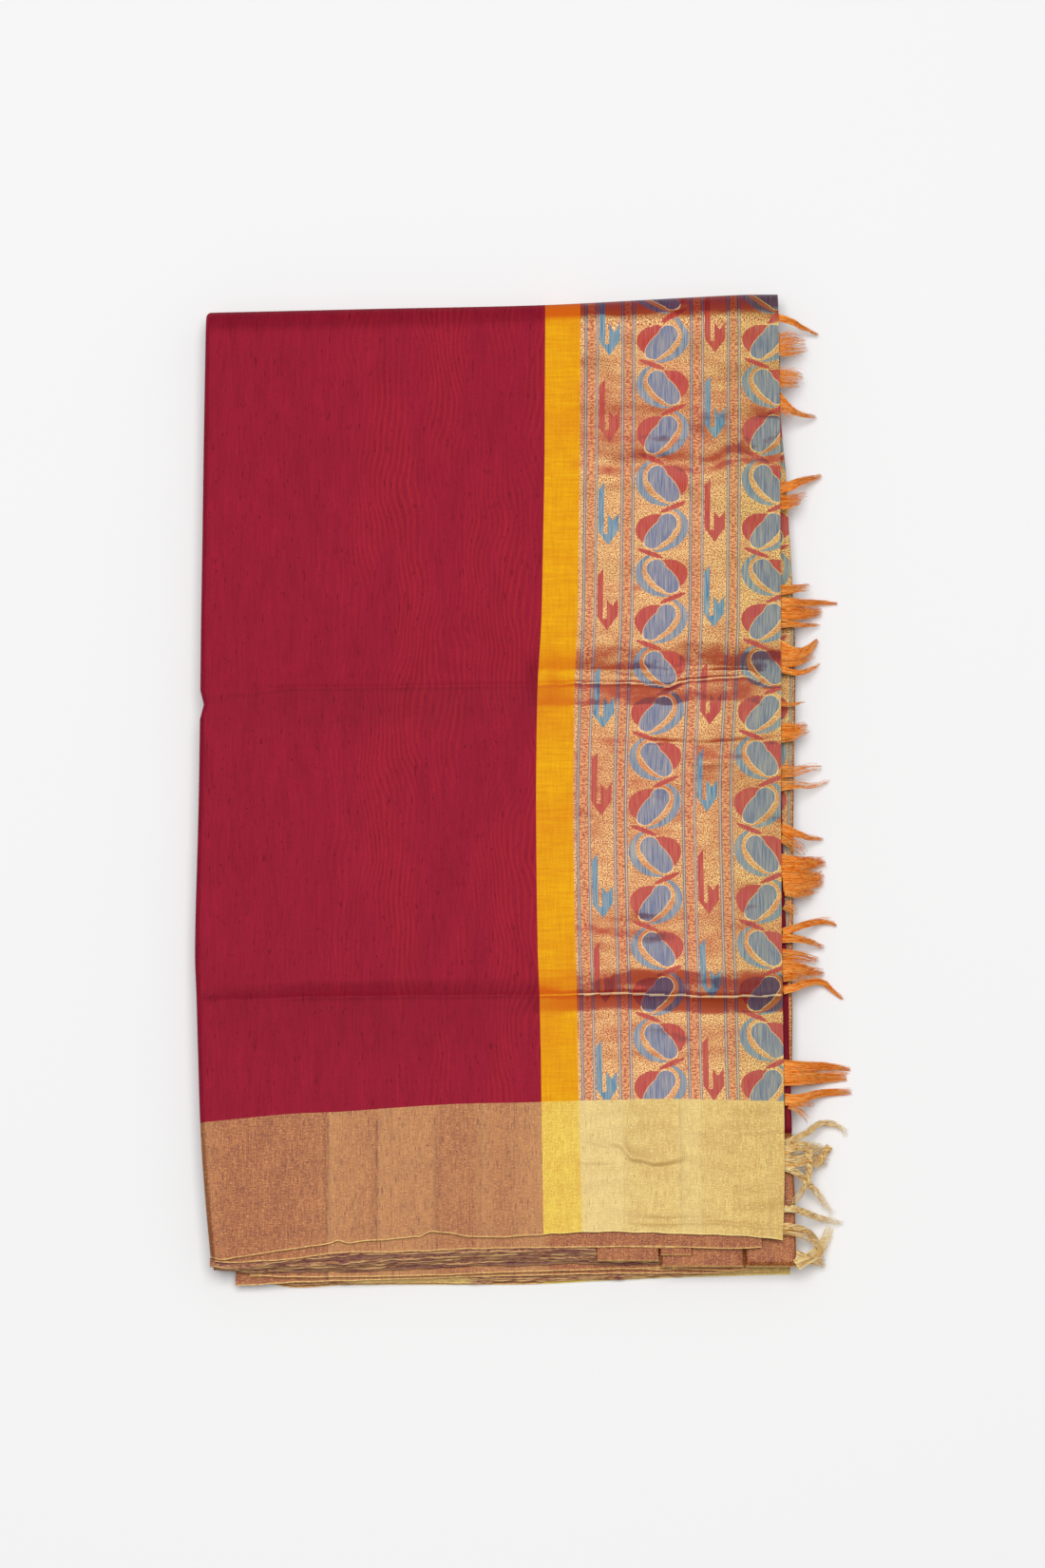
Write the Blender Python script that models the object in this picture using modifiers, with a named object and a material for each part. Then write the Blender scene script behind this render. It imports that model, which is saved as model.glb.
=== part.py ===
"""A silk sari folded into a flat packet, lying on a surface.

The long cloth is folded into a strip of leaves and the strip is folded once across, so the
far side is a thick rolled fold and the near side shows the edges of the leaves, a little
further out the lower they lie. The outer leaf is built as cloth walls, one for each woven
stretch: maroon body, yellow stripe, brocade end piece, and the metal thread borders. The
hidden leaves share one solid with layered edges. The warp fringe hangs from the end piece.

Frame: +X to the right, +Y to the far fold, +Z up, origin on the underside.
"""

import math
from collections import namedtuple

import bmesh
import bpy
from mathutils import Vector

# Driving dimensions
MM = 0.001
SEAM_GAP = 0.3 * MM
CLOTH_WALL = 1.4 * MM
TOP_HEIGHT = 22.6 * MM
FOLD_REACH = 20.0 * MM
LEFT_FOLD_RADIUS = 3.0 * MM
UNDER_LEFT_INSETS = (14.5 * MM, 4.5 * MM)
UNDER_INSET_RUN = 130.0 * MM
UNDER_BORDER_WIDTH = 78.5 * MM
CORE_BOTTOM = 1.7 * MM
CORE_TOP = 20.2 * MM
CORE_LEFT_INSET = 3.5 * MM
CORE_INSET_FAR_SHARE = 0.25
CORE_INSET_RUN = 150.0 * MM
NEAR_END_Y = -290.0 * MM
CORE_FOLD_CLEARANCE = 0.9 * MM
GROOVE_DEPTH = 2.2 * MM
CORNER_CUT = 5.0 * MM
POCKET_BACK_Y = -240.0 * MM
LOW_POCKET_BACK_Y = -245.0 * MM
SECOND_LEAF_BACK_Y = -200.0 * MM
FLAP_LEFT_X = 147.7 * MM
SIDE_POCKET_X = 141.0 * MM
SIDE_LEAF_FAR_Y = 268.0 * MM
FLAP_BORDER_Y = -209.0 * MM
STRIP_LEFT_X = 166.5 * MM
STRIP_RIGHT_X = 170.6 * MM
STRIP_LOW = 18.75 * MM
STRIP_HIGH = 20.2 * MM
FLAP_LOW = 13.5 * MM
FLAP_HIGH = 16.25 * MM
FLAP_NEAR_Y = -287.7 * MM
INNER_LOW = 11.05 * MM
INNER_HIGH = 13.2 * MM
INNER_NEAR_Y = -282.0 * MM
CORE_END_INSET = 1.0 * MM
CORE_LIP_SHARE = 0.28
CORNER_SLANT = 0.3
UNDER_RIGHT_X = 174.5 * MM
UNDER_ROWS = 3

# Near edges of the leaves in millimetres, a row for each section across the packet.
# "top" is the top leaf, "border" the line between its body and its border.
NEAR_COLUMNS = ("x", "top", "border", "second", "third", "fourth", "fifth", "sixth",
                "seventh", "eighth", "ninth", "bottom")
NEAR_SECTIONS = (
    (-176, -276.0, -204.0, -281.0, -288.0, -288.0, -288.0, -288.5, -289.0, -296.0, -293.0, -290.0),
    (-162, -284.0, -202.5, -285.4, -289.0, -289.0, -289.2, -289.6, -291.0, -297.5, -293.0, -290.0),
    (-150, -283.1, -201.3, -285.7, -289.4, -289.6, -289.7, -290.1, -291.6, -297.9, -293.0, -291.0),
    (-120, -278.5, -198.4, -283.9, -285.0, -287.5, -288.6, -289.5, -293.2, -296.2, -294.4, -298.0),
    (-90, -274.5, -197.1, -280.2, -282.3, -286.3, -287.8, -289.0, -293.1, -295.1, -295.4, -296.8),
    (-60, -272.5, -194.9, -279.7, -280.9, -284.2, -286.0, -287.6, -292.7, -294.3, -294.9, -296.4),
    (-30, -268.6, -192.9, -278.5, -280.1, -282.6, -284.2, -286.1, -292.0, -293.3, -294.1, -296.4),
    (-12, -271.0, -192.2, -277.8, -279.7, -281.8, -283.3, -285.1, -291.2, -292.7, -293.8, -296.4),
    (20, -270.3, -191.6, -277.2, -279.1, -281.1, -282.8, -284.5, -290.0, -292.0, -293.2, -296.3),
    (60, -267.9, -190.3, -276.7, -278.6, -280.6, -282.5, -284.5, -288.9, -290.9, -292.4, -294.4),
    (100, -268.7, -189.4, -276.5, -278.5, -280.5, -282.5, -284.5, -287.9, -290.6, -290.6, -292.5),
    (140, -270.0, -190.1, -277.6, -278.5, -280.5, -282.5, -284.0, -289.4, -290.0, -288.0, -291.3),
    (172, -272.8, -190.9, -275.9, -278.5, -280.5, -282.5, -283.0, -284.0, -284.0, -286.0, -290.5),
)

# Side edges and woven stripe lines in millimetres, a row for each section along the packet.
SIDE_COLUMNS = ("y", "left", "stripe_left", "stripe_right", "right", "flap", "inner")
SIDE_SECTIONS = (
    (-290, -164.8, 29.3, 52.2, 168.4, 177.5, 173.0),
    (-250, -167.8, 29.0, 51.5, 170.3, 177.0, 174.0),
    (-210, -170.8, 28.4, 50.4, 170.9, 175.7, 174.6),
    (-160, -174.1, 27.7, 49.5, 170.8, 174.9, 176.6),
    (-130, -175.8, 27.1, 49.1, 170.7, 174.6, 177.1),
    (-100, -177.2, 26.0, 48.3, 170.6, 173.8, 177.6),
    (-20, -176.3, 25.1, 47.1, 170.9, 172.0, 178.9),
    (20, -176.1, 25.3, 47.5, 171.3, 171.2, 179.8),
    (60, -176.1, 26.1, 48.2, 171.8, 170.7, 181.0),
    (100, -176.2, 28.3, 50.0, 172.1, 170.5, 180.8),
    (150, -176.1, 29.4, 50.8, 172.4, 170.2, 178.7),
    (200, -176.1, 30.3, 51.5, 172.8, 170.0, 176.2),
    (235, -176.0, 30.5, 51.8, 173.0, 169.8, 173.6),
    (300, -175.7, 30.9, 52.3, 172.6, 169.5, 171.0),
)

# Outermost line of the far fold in millimetres.
FAR_COLUMNS = ("x", "far")
FAR_SECTIONS = (
    (-176, 294.2),
    (-80, 296.8),
    (31, 299.3),
    (98, 302.9),
    (150, 306.3),
    (173, 306.5),
)

# Pressed creases across the top leaf, in millimetres: place along Y, slope, half width, and
# height on the body and on the brocade.
CREASES = (
    (63.0, 0.020, 3.0, 0.35, 1.30),
    (68.5, 0.030, 1.8, 0.00, 0.50),
    (53.5, 0.020, 4.0, -0.20, -0.55),
    (-127.8, 0.005, 2.2, 0.45, 1.40),
    (-122.0, 0.005, 2.6, -0.15, -0.50),
    (-134.5, 0.005, 3.0, -0.15, -0.50),
    (283.0, 0.020, 3.0, 0.25, 0.35),
)

# Pressed marks in the border, in millimetres: place along X, half width, height.
BORDER_MARKS = (
    (-95.6, 2.6, 0.45),
    (-66.6, 2.2, 0.40),
    (-33.2, 2.6, 0.55),
    (-8.1, 2.0, 0.35),
    (77.2, 2.4, 0.40),
    (108.4, 2.8, 0.50),
    (159.1, 2.2, 0.35),
)
MARK_FADE_Y = -210.0
MARK_FADE_RUN = 30.0

# Slow waves of the top leaf, in millimetres. The brocade is stiffer, so the creases change
# height over the stretch between the body and the brocade.
BROCADE_BLEND_X = 20.0
BROCADE_BLEND_RUN = 40.0
SWELL_HEIGHT = 0.22
SWELL_X = (31.0, 0.8)
SWELL_Y = (47.0, 0.4)
RIPPLE_HEIGHT = 0.16
RIPPLE_X = 19.0
RIPPLE_Y = 37.0
EDGE_SAG = 0.35
EDGE_SAG_Y = -285.0
EDGE_SAG_RUN = 45.0
EDGE_CALM = 0.6

# Layers of the core, from the bottom, in millimetres. "near" names the near edge that the
# layer follows, and "right_x" is its right edge. A layer with a pocket stays back there,
# because a leaf of its own lies in front of it.
Layer = namedtuple("Layer", "low high near left_inset right_x pocket")
CORE_LAYERS = (
    Layer(1.70, 4.65, "ninth", 14.0, 170.0, "none"),
    Layer(4.65, 7.75, "eighth", 12.5, 168.0, "low"),
    Layer(7.75, 10.75, "seventh", 13.5, 169.0, "low"),
    Layer(10.75, 12.65, "sixth", 12.0, 141.0, "none"),
    Layer(12.65, 14.55, "fifth", 10.5, 141.0, "right"),
    Layer(14.55, 16.55, "fourth", 11.5, 141.0, "right"),
    Layer(16.55, 18.45, "third", 9.5, 168.0, "middle"),
    Layer(18.45, 20.20, "second", 0.0, 166.0, "top"),
)
MIDDLE_POCKET = (60.0, 117.2)
RIGHT_POCKET_X = 97.5
RIGHT_SHELF_Y = -266.0

# Warp fringe in millimetres, a row for each tuft. Roots lie on the backing strip from
# root_low to root_high, and the tips spread from tip_low to tip_high at reach_x. The bow
# carries the middle of a tuft sideways along Y, and tip_z is how high its tips end.
# Columns: root_low, root_high, reach_x, tip_low, tip_high, bow, tip_z, locks, lock width.
ORANGE_TUFTS = (
    (277.5, 283.0, 197.0, 281.0, 286.0, 3.0, 2.5, 3, 1.5),
    (265.0, 274.5, 190.0, 268.0, 277.0, 0.0, 5.0, 3, 0.9),
    (247.0, 256.0, 188.0, 250.0, 257.0, 0.0, 4.0, 3, 0.9),
    (238.0, 243.5, 197.0, 231.0, 235.0, -3.0, 2.0, 3, 1.4),
    (181.5, 187.5, 200.0, 190.0, 195.5, -1.5, 3.0, 3, 1.5),
    (171.5, 176.0, 190.0, 177.0, 182.0, 0.0, 4.5, 2, 1.1),
    (116.5, 121.5, 196.0, 123.0, 128.0, 0.0, 3.0, 3, 1.2),
    (101.0, 113.0, 202.0, 105.5, 115.5, 1.0, 2.0, 5, 1.5),
    (96.0, 98.5, 197.0, 99.5, 102.0, 0.0, 3.5, 1, 1.0),
    (73.0, 84.5, 195.0, 77.0, 92.0, -1.5, 2.5, 4, 1.5),
    (48.0, 50.5, 187.5, 52.0, 54.0, 0.0, 8.0, 1, 0.9),
    (28.5, 34.5, 190.0, 34.0, 38.5, 0.0, 6.0, 2, 1.2),
    (-2.5, 11.0, 200.0, 2.0, 14.0, 0.0, 2.0, 3, 1.0),
    (-38.0, -29.0, 199.0, -33.0, -27.5, 0.0, 3.0, 3, 1.5),
    (-63.0, -46.0, 200.0, -58.5, -44.5, 0.0, 2.0, 5, 1.6),
    (-89.0, -84.5, 208.0, -84.5, -80.5, 4.0, 2.0, 2, 1.6),
    (-98.0, -92.5, 200.0, -95.5, -91.0, 1.0, 2.5, 2, 1.4),
    (-112.5, -106.0, 200.0, -110.0, -105.0, 0.0, 3.0, 2, 1.2),
    (-124.0, -118.5, 211.0, -127.0, -122.5, 6.0, 1.6, 3, 1.5),
    (-178.0, -167.0, 216.0, -174.5, -165.5, 0.0, 1.6, 5, 1.7),
    (-190.5, -185.0, 217.0, -186.5, -179.5, 0.0, 1.6, 3, 1.5),
)
GOLD_TUFTS = (
    (-215.5, -210.5, 214.0, -209.5, -205.0, 7.0, 2.0, 2, 1.5),
    (-229.0, -220.0, 206.0, -225.0, -214.5, 1.0, 2.0, 4, 1.4),
    (-237.5, -232.0, 204.0, -250.0, -245.5, 2.0, 1.8, 2, 1.6),
    (-257.5, -252.0, 211.0, -259.5, -255.0, 1.0, 1.8, 2, 1.5),
    (-267.0, -262.0, 197.0, -283.0, -278.0, 6.0, 1.6, 2, 1.3),
)

# Centre line of a lock in millimetres: place along X, share of the way from there to the
# tip, and height above the tip.
LOCK_PATH = (
    (170.6, 0.00, 19.5),
    (175.6, 0.00, 19.6),
    (182.9, 0.00, 17.4),
    (182.9, 0.48, 8.6),
    (182.9, 1.00, 0.0),
)
ORANGE_STRIP = (-194.0, 285.0)
GOLD_STRIP = (-270.0, -198.0)
LOCK_TIP_SHARE = 0.35
LOCK_TAPER = 1.5
LOCK_FULLNESS = 1.45
LOCK_SPACING_SHARE = 0.82
LOCK_HEIGHT_LIMIT = 1.2
LOCK_UNEVEN_RATE = 7.3
LOCK_UNEVEN_REACH = 2.4
LOCK_SHORTER = 2.5
LOCK_UNEVEN_TIP = 0.5
Lock = namedtuple("Lock", "root_y reach tip_y bow tip_z width")

MATERIALS = {
    "maroon": ((0.352, 0.012, 0.039, 1.0), 0.62, 0.0),
    "yellow": ((0.847, 0.381, 0.008, 1.0), 0.58, 0.0),
    "brocade": ((0.730, 0.410, 0.130, 1.0), 0.45, 0.35),
    "copper": ((0.430, 0.170, 0.060, 1.0), 0.45, 0.40),
    "gold": ((0.760, 0.540, 0.190, 1.0), 0.42, 0.45),
    "layers": ((0.330, 0.120, 0.050, 1.0), 0.60, 0.15),
    "orange_silk": ((0.760, 0.150, 0.006, 1.0), 0.50, 0.0),
    "gold_silk": ((0.590, 0.350, 0.080, 1.0), 0.45, 0.25),
}


def lookup(table, columns, name, at):
    """Read a column of a section table at a place between its rows, on a smooth curve."""
    pick = columns.index(name)
    keys = [row[0] for row in table]
    values = [row[pick] for row in table]
    at = min(max(at, keys[0]), keys[-1])
    low = 0
    while low < len(keys) - 2 and at > keys[low + 1]:
        low += 1
    span = keys[low + 1] - keys[low]
    step = (at - keys[low]) / span

    def slope(i):
        before = max(i - 1, 0)
        after = min(i + 1, len(keys) - 1)
        return (values[after] - values[before]) / (keys[after] - keys[before])

    first = values[low]
    last = values[low + 1]
    tangent_a = slope(low) * span
    tangent_b = slope(low + 1) * span
    return (first * (1 + 2 * step) * (1 - step) ** 2 + tangent_a * step * (1 - step) ** 2
            + last * step * step * (3 - 2 * step) + tangent_b * step * step * (step - 1))


def near_y(name, x):
    return lookup(NEAR_SECTIONS, NEAR_COLUMNS, name, x / MM) * MM


def side_x(name, y):
    return lookup(SIDE_SECTIONS, SIDE_COLUMNS, name, y / MM) * MM


def far_y(x):
    return lookup(FAR_SECTIONS, FAR_COLUMNS, "far", x / MM) * MM


def blend(a, b, share):
    return a + (b - a) * share


def smooth(share):
    share = min(max(share, 0.0), 1.0)
    return share * share * (3 - 2 * share)


def cloth_height(x, y):
    """Height of the top leaf above its plain level, from its creases and slow waves."""
    on_brocade = smooth((x / MM - BROCADE_BLEND_X) / BROCADE_BLEND_RUN)
    rise = 0.0
    for crease_y, slope, half_width, body_height, pallu_height in CREASES:
        away = (y / MM - crease_y - slope * (x / MM - 100.0)) / half_width
        rise += blend(body_height, pallu_height, on_brocade) * math.exp(-away * away)
    in_border = 1.0 - smooth((y / MM - MARK_FADE_Y) / MARK_FADE_RUN)
    for mark_x, half_width, height in BORDER_MARKS:
        away = (x / MM - mark_x) / half_width
        rise += in_border * height * math.exp(-away * away)
    swell_x = math.sin(x / MM / SWELL_X[0] + SWELL_X[1])
    swell_y = math.sin(y / MM / SWELL_Y[0] + SWELL_Y[1])
    rise += SWELL_HEIGHT * swell_x * swell_y
    rise += RIPPLE_HEIGHT * math.sin(x / MM / RIPPLE_X - y / MM / RIPPLE_Y)
    at_edge = 1.0 - smooth((y / MM - EDGE_SAG_Y) / EDGE_SAG_RUN)
    return (rise * (1.0 - EDGE_CALM * at_edge) - EDGE_SAG * at_edge) * MM


def top_leaf_point(x, y, turn, left_drop):
    """Point of the top leaf's outer face. turn runs from 0 to pi round the far fold."""
    half = TOP_HEIGHT / 2
    roll_y = far_y(x) - FOLD_REACH
    lift = cloth_height(x, min(y, roll_y)) * max(0.0, math.cos(turn)) ** 2
    normal = Vector((0.0, math.sin(turn) / FOLD_REACH, math.cos(turn) / half)).normalized()
    if turn > 0.0:
        y = roll_y + FOLD_REACH * math.sin(turn)
    return Vector((x, y, half + half * math.cos(turn))) + normal * (lift - left_drop)


def make_material(name):
    colour, roughness, metallic = MATERIALS[name]
    material = bpy.data.materials.get(name) or bpy.data.materials.new(name)
    material.use_nodes = True
    shader = material.node_tree.nodes["Principled BSDF"]
    shader.inputs["Base Color"].default_value = colour
    shader.inputs["Roughness"].default_value = roughness
    shader.inputs["Metallic"].default_value = metallic
    return material


def finish_object(name, bm, material):
    bmesh.ops.recalc_face_normals(bm, faces=bm.faces)
    mesh = bpy.data.meshes.new(name)
    bm.to_mesh(mesh)
    bm.free()
    obj = bpy.data.objects.new(name, mesh)
    obj.data.materials.append(make_material(material))
    sari.objects.link(obj)
    return obj


def cloth_wall(name, place, columns, rows, material, wall=CLOTH_WALL):
    """A sheet of cloth: place(column, row) gives its outer face, and the wall lies below."""
    bm = bmesh.new()
    bmesh.ops.create_grid(bm, x_segments=columns, y_segments=rows, size=0.5)
    for vert in bm.verts:
        column = round((vert.co.x + 0.5) * columns)
        row = round((vert.co.y + 0.5) * rows)
        vert.co = place(column, row)
    mesh = bpy.data.meshes.new(name)
    bm.to_mesh(mesh)
    bm.free()
    obj = bpy.data.objects.new(name, mesh)
    obj.data.materials.append(make_material(material))
    sari.objects.link(obj)
    solidify = obj.modifiers.new("wall", "SOLIDIFY")
    solidify.thickness = wall
    solidify.offset = -1.0
    return obj


def loft(bm, rings):
    """Join closed sections into one solid with a flat cap at each end."""
    loops = [[bm.verts.new(point) for point in ring] for ring in rings]
    count = len(loops[0])
    bands = []
    for lower, upper in zip(loops, loops[1:]):
        band = []
        for i in range(count):
            j = (i + 1) % count
            band.append(bm.faces.new((lower[i], lower[j], upper[j], upper[i])))
        bands.append(band)
    bm.faces.new(list(reversed(loops[0])))
    bm.faces.new(loops[-1])
    return bands


def spread(first, last, count):
    return [blend(first, last, i / (count - 1)) for i in range(count)]


# Rows of the top leaf in millimetres along Y, which gather at the creases, from the border
# line to the start of the far fold. After them come the turns round the fold.
NOMINAL_BORDER_Y = -192.0
NOMINAL_FOLD_Y = 287.0
CREASE_ROWS = (-160, -143, -135, -131.5, -127.8, -124, -120, -112, -70, -25, 15, 42, 49, 54, 59,
               63, 66, 69, 74, 90, 130, 175, 220, 258, 276, 283)
FOLD_TURNS = (0.30, 0.60, 0.92, 1.25, 1.60, 1.98, 2.38, 2.76, math.pi)


def upper_rows(x):
    """Places along Y, and turns round the fold, of the rows of a top stretch."""
    start = near_y("border", x) + SEAM_GAP / 2
    roll_y = far_y(x) - FOLD_REACH
    rows = [(start, 0.0)]
    for nominal in CREASE_ROWS:
        share = (nominal - NOMINAL_BORDER_Y) / (NOMINAL_FOLD_Y - NOMINAL_BORDER_Y)
        rows.append((blend(start, roll_y, share), 0.0))
    rows.append((roll_y, 0.0))
    rows.extend((roll_y, turn) for turn in FOLD_TURNS)
    return rows


def border_rows(x):
    start = near_y("top", x)
    end = near_y("border", x) - SEAM_GAP / 2
    return [(blend(start, end, share), 0.0) for share in BORDER_ROWS]


# Shares of a stretch's width or length at which its columns and rows lie.
BORDER_ROWS = (0.0, 0.06, 0.25, 0.5, 0.75, 1.0)
BODY_COLUMNS = (0.08, 0.20, 0.32, 0.395, 0.46, 0.54, 0.62, 0.70, 0.78, 0.89, 1.0)
PALLU_COLUMNS = (0.0, 0.09, 0.21, 0.25, 0.35, 0.47, 0.53, 0.66, 0.80, 0.90, 1.0)
STRIPE_COLUMNS = (0.0, 0.5, 1.0)
LEFT_FOLD_TURNS = (math.pi / 2, math.pi / 3, math.pi / 6, 0.0)


def edge_columns(edges, shares):
    """Columns between two side edges, each as (x at a given y, drop)."""
    left, right = edges
    return [(lambda y, share=share: blend(left(y), right(y), share), 0.0) for share in shares]


def folded_left_columns():
    columns = []
    for turn in LEFT_FOLD_TURNS:
        aside = LEFT_FOLD_RADIUS * (1.0 - math.sin(turn))
        drop = LEFT_FOLD_RADIUS * (1.0 - math.cos(turn))
        columns.append((lambda y, aside=aside: side_x("left", y) + aside, drop))
    return columns


STRETCH_EDGES = {
    "body": (lambda y: side_x("left", y) + LEFT_FOLD_RADIUS,
             lambda y: side_x("stripe_left", y) - SEAM_GAP / 2),
    "stripe": (lambda y: side_x("stripe_left", y) + SEAM_GAP / 2,
               lambda y: side_x("stripe_right", y) - SEAM_GAP / 2),
    "pallu": (lambda y: side_x("stripe_right", y) + SEAM_GAP / 2,
              lambda y: side_x("right", y)),
}
STRETCH_SHARES = {"body": BODY_COLUMNS, "stripe": STRIPE_COLUMNS, "pallu": PALLU_COLUMNS}


def top_stretch(name, stretch, rows_at, material):
    """One woven stretch of the top leaf, between its side edges and its row ends."""
    columns = edge_columns(STRETCH_EDGES[stretch], STRETCH_SHARES[stretch])
    if stretch == "body":
        columns = folded_left_columns() + columns
    row_count = len(rows_at(0.0))

    def place(column, row):
        x_at, drop = columns[column]
        x = x_at(0.0)
        for _ in range(3):
            y, turn = rows_at(x)[row]
            x = x_at(y)
        return top_leaf_point(x, y, turn, drop)

    return cloth_wall(name, place, len(columns) - 1, row_count - 1, material)


def build_top_leaf():
    top_stretch("body_top", "body", upper_rows, "maroon")
    top_stretch("stripe_top", "stripe", upper_rows, "yellow")
    top_stretch("pallu_top", "pallu", upper_rows, "brocade")
    top_stretch("border_body_top", "body", border_rows, "copper")
    top_stretch("border_stripe_top", "stripe", border_rows, "yellow")
    top_stretch("border_pallu_top", "pallu", border_rows, "gold")


# Stretches of the underside leaf: name, left line, right line, columns, body and border
# material.
UNDER_STRETCHES = (
    ("body", "under_left", "stripe_left", 9, "maroon", "copper"),
    ("stripe", "stripe_left", "stripe_right", 2, "yellow", "yellow"),
    ("pallu", "stripe_right", "under_right", 6, "brocade", "gold"),
)


def under_edge(name, y):
    """A side edge of the underside leaf, which draws in at its near left corner."""
    if name == "under_left":
        share = smooth((y - NEAR_END_Y) / UNDER_INSET_RUN)
        return side_x("left", y) + blend(UNDER_LEFT_INSETS[0], UNDER_LEFT_INSETS[1], share)
    if name == "under_right":
        return UNDER_RIGHT_X
    return side_x(name, y)


def build_under_leaf():
    """The other half of the outer leaf, flat on the surface, up to the end of the fold."""
    for stretch, left, right, columns, body_material, border_material in UNDER_STRETCHES:
        margin = SEAM_GAP / 2

        def across(share, y, left=left, right=right, margin=margin):
            return blend(under_edge(left, y) + margin, under_edge(right, y) - margin, share)

        def body_place(column, row, across=across, columns=columns):
            x = across(column / columns, 0.0)
            for _ in range(2):
                start = near_y("bottom", x) + UNDER_BORDER_WIDTH + SEAM_GAP
                y = blend(start, far_y(x) - FOLD_REACH - SEAM_GAP, row / UNDER_ROWS)
                x = across(column / columns, y)
            return Vector((x, y, CLOTH_WALL))

        def border_place(column, row, across=across, columns=columns):
            x = across(column / columns, NEAR_END_Y)
            for _ in range(2):
                y = near_y("bottom", x) + UNDER_BORDER_WIDTH * row
                x = across(column / columns, y)
            return Vector((x, y, CLOTH_WALL))

        cloth_wall(stretch + "_under", body_place, columns, UNDER_ROWS, body_material)
        cloth_wall("border_" + stretch + "_under", border_place, columns, 1, border_material)


# Flat leaves that show at the near edge, in millimetres: name, left and right edge, low and
# high face, the near edge that they follow, how far back they reach, and columns.
NEAR_LEAVES = (
    ("second_leaf_border", -163.0, 157.0, 18.80, 20.20, "second", -200.3, 22),
    ("seventh_leaf_border", -143.0, 150.0, 7.90, 10.45, "seventh", -245.4, 18),
    ("eighth_leaf_border", -151.5, 146.0, 5.00, 7.55, "eighth", -245.4, 18),
)

# Short folded ends at the near right, in the same order, each with a straight near edge.
FOLDED_END_RUN = 1.0
FOLDED_ENDS = (
    ("right_leaf_upper", 60.4, 96.9, 16.85, 18.30, -284.6, -240.3),
    ("right_leaf_small", 97.7, 116.6, 16.85, 18.15, -281.3, -240.3),
    ("right_leaf_lower", 98.2, 146.6, 13.35, 16.25, -287.7, -240.3),
)


def build_near_leaves():
    for name, left, right, low, high, near, back, columns in NEAR_LEAVES:

        def place(column, row, sides=(left, right), high=high, near=near, back=back, columns=columns):
            x = blend(*sides, column / columns) * MM
            start = near_y(near, x)
            return Vector((x, blend(start, back * MM, row / 2), high * MM))

        cloth_wall(name, place, columns, 2, "copper", (high - low) * MM)
    for name, left, right, low, high, near, back in FOLDED_ENDS:
        bm = bmesh.new()
        rings = [folded_section(left * MM, right * MM, low * MM, high * MM, y * MM)
                 for y in (near, near + FOLDED_END_RUN, back)]
        loft(bm, rings)
        finish_object(name, bm, "copper")


def folded_section(left, right, low, high, y):
    """Section of a doubled leaf: flat faces between two folded, rounded sides."""
    half = (high - low) / 2
    middle = (high + low) / 2
    points = []
    for side, centre in ((1.0, right - half), (-1.0, left + half)):
        for turn in (-90.0, -45.0, 0.0, 45.0, 90.0):
            angle = math.radians(turn)
            points.append(Vector((centre + side * half * math.cos(angle), y,
                                  middle + side * half * math.sin(angle))))
    return points


def build_side_leaves():
    """The narrow maroon flap with its border, and the second brocade leaf under it."""
    pieces = (
        ("flap_body", "flap", FLAP_LEFT_X, FLAP_LOW, FLAP_HIGH,
         FLAP_BORDER_Y + SEAM_GAP, SIDE_LEAF_FAR_Y, 12, "maroon"),
        ("flap_border", "flap", FLAP_LEFT_X, FLAP_LOW, FLAP_HIGH,
         FLAP_NEAR_Y, FLAP_BORDER_Y, 4, "copper"),
        ("inner_pallu", "inner", SIDE_POCKET_X + SEAM_GAP, INNER_LOW, INNER_HIGH,
         INNER_NEAR_Y, SIDE_LEAF_FAR_Y, 15, "brocade"),
    )
    for name, edge, left, low, high, near, far, sections, material in pieces:
        bm = bmesh.new()
        rings = [folded_section(left, side_x(edge, y), low, high, y) for y in spread(near, far, sections)]
        loft(bm, rings)
        finish_object(name, bm, material)


def core_near_y(layer, x):
    """Near edge of a core layer, which stays back where a leaf of its own lies in front."""
    if layer.pocket == "low":
        return LOW_POCKET_BACK_Y
    if layer.pocket == "top":
        return SECOND_LEAF_BACK_Y
    if layer.pocket == "right" and x > RIGHT_POCKET_X * MM:
        return POCKET_BACK_Y
    if layer.pocket == "middle" and x > MIDDLE_POCKET[0] * MM:
        return POCKET_BACK_Y if x < MIDDLE_POCKET[1] * MM else RIGHT_SHELF_Y * MM
    return near_y(layer.near, x)


CORE_NEAR_X = (-150, -135, -120, -105, -90, -75, -60, -45, -30, -15, 0, 20, 40, 59.7, 60.3, 78,
               97.2, 97.8, 107, 116.9, 117.5, 130)
CORE_SIDE_Y = (-235, -200, -150, -100, -50, 0, 50, 100, 150, 200, 245, 265)
CORE_FAR_SHARES = (0.12, 0.35, 0.62, 0.88)


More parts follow.
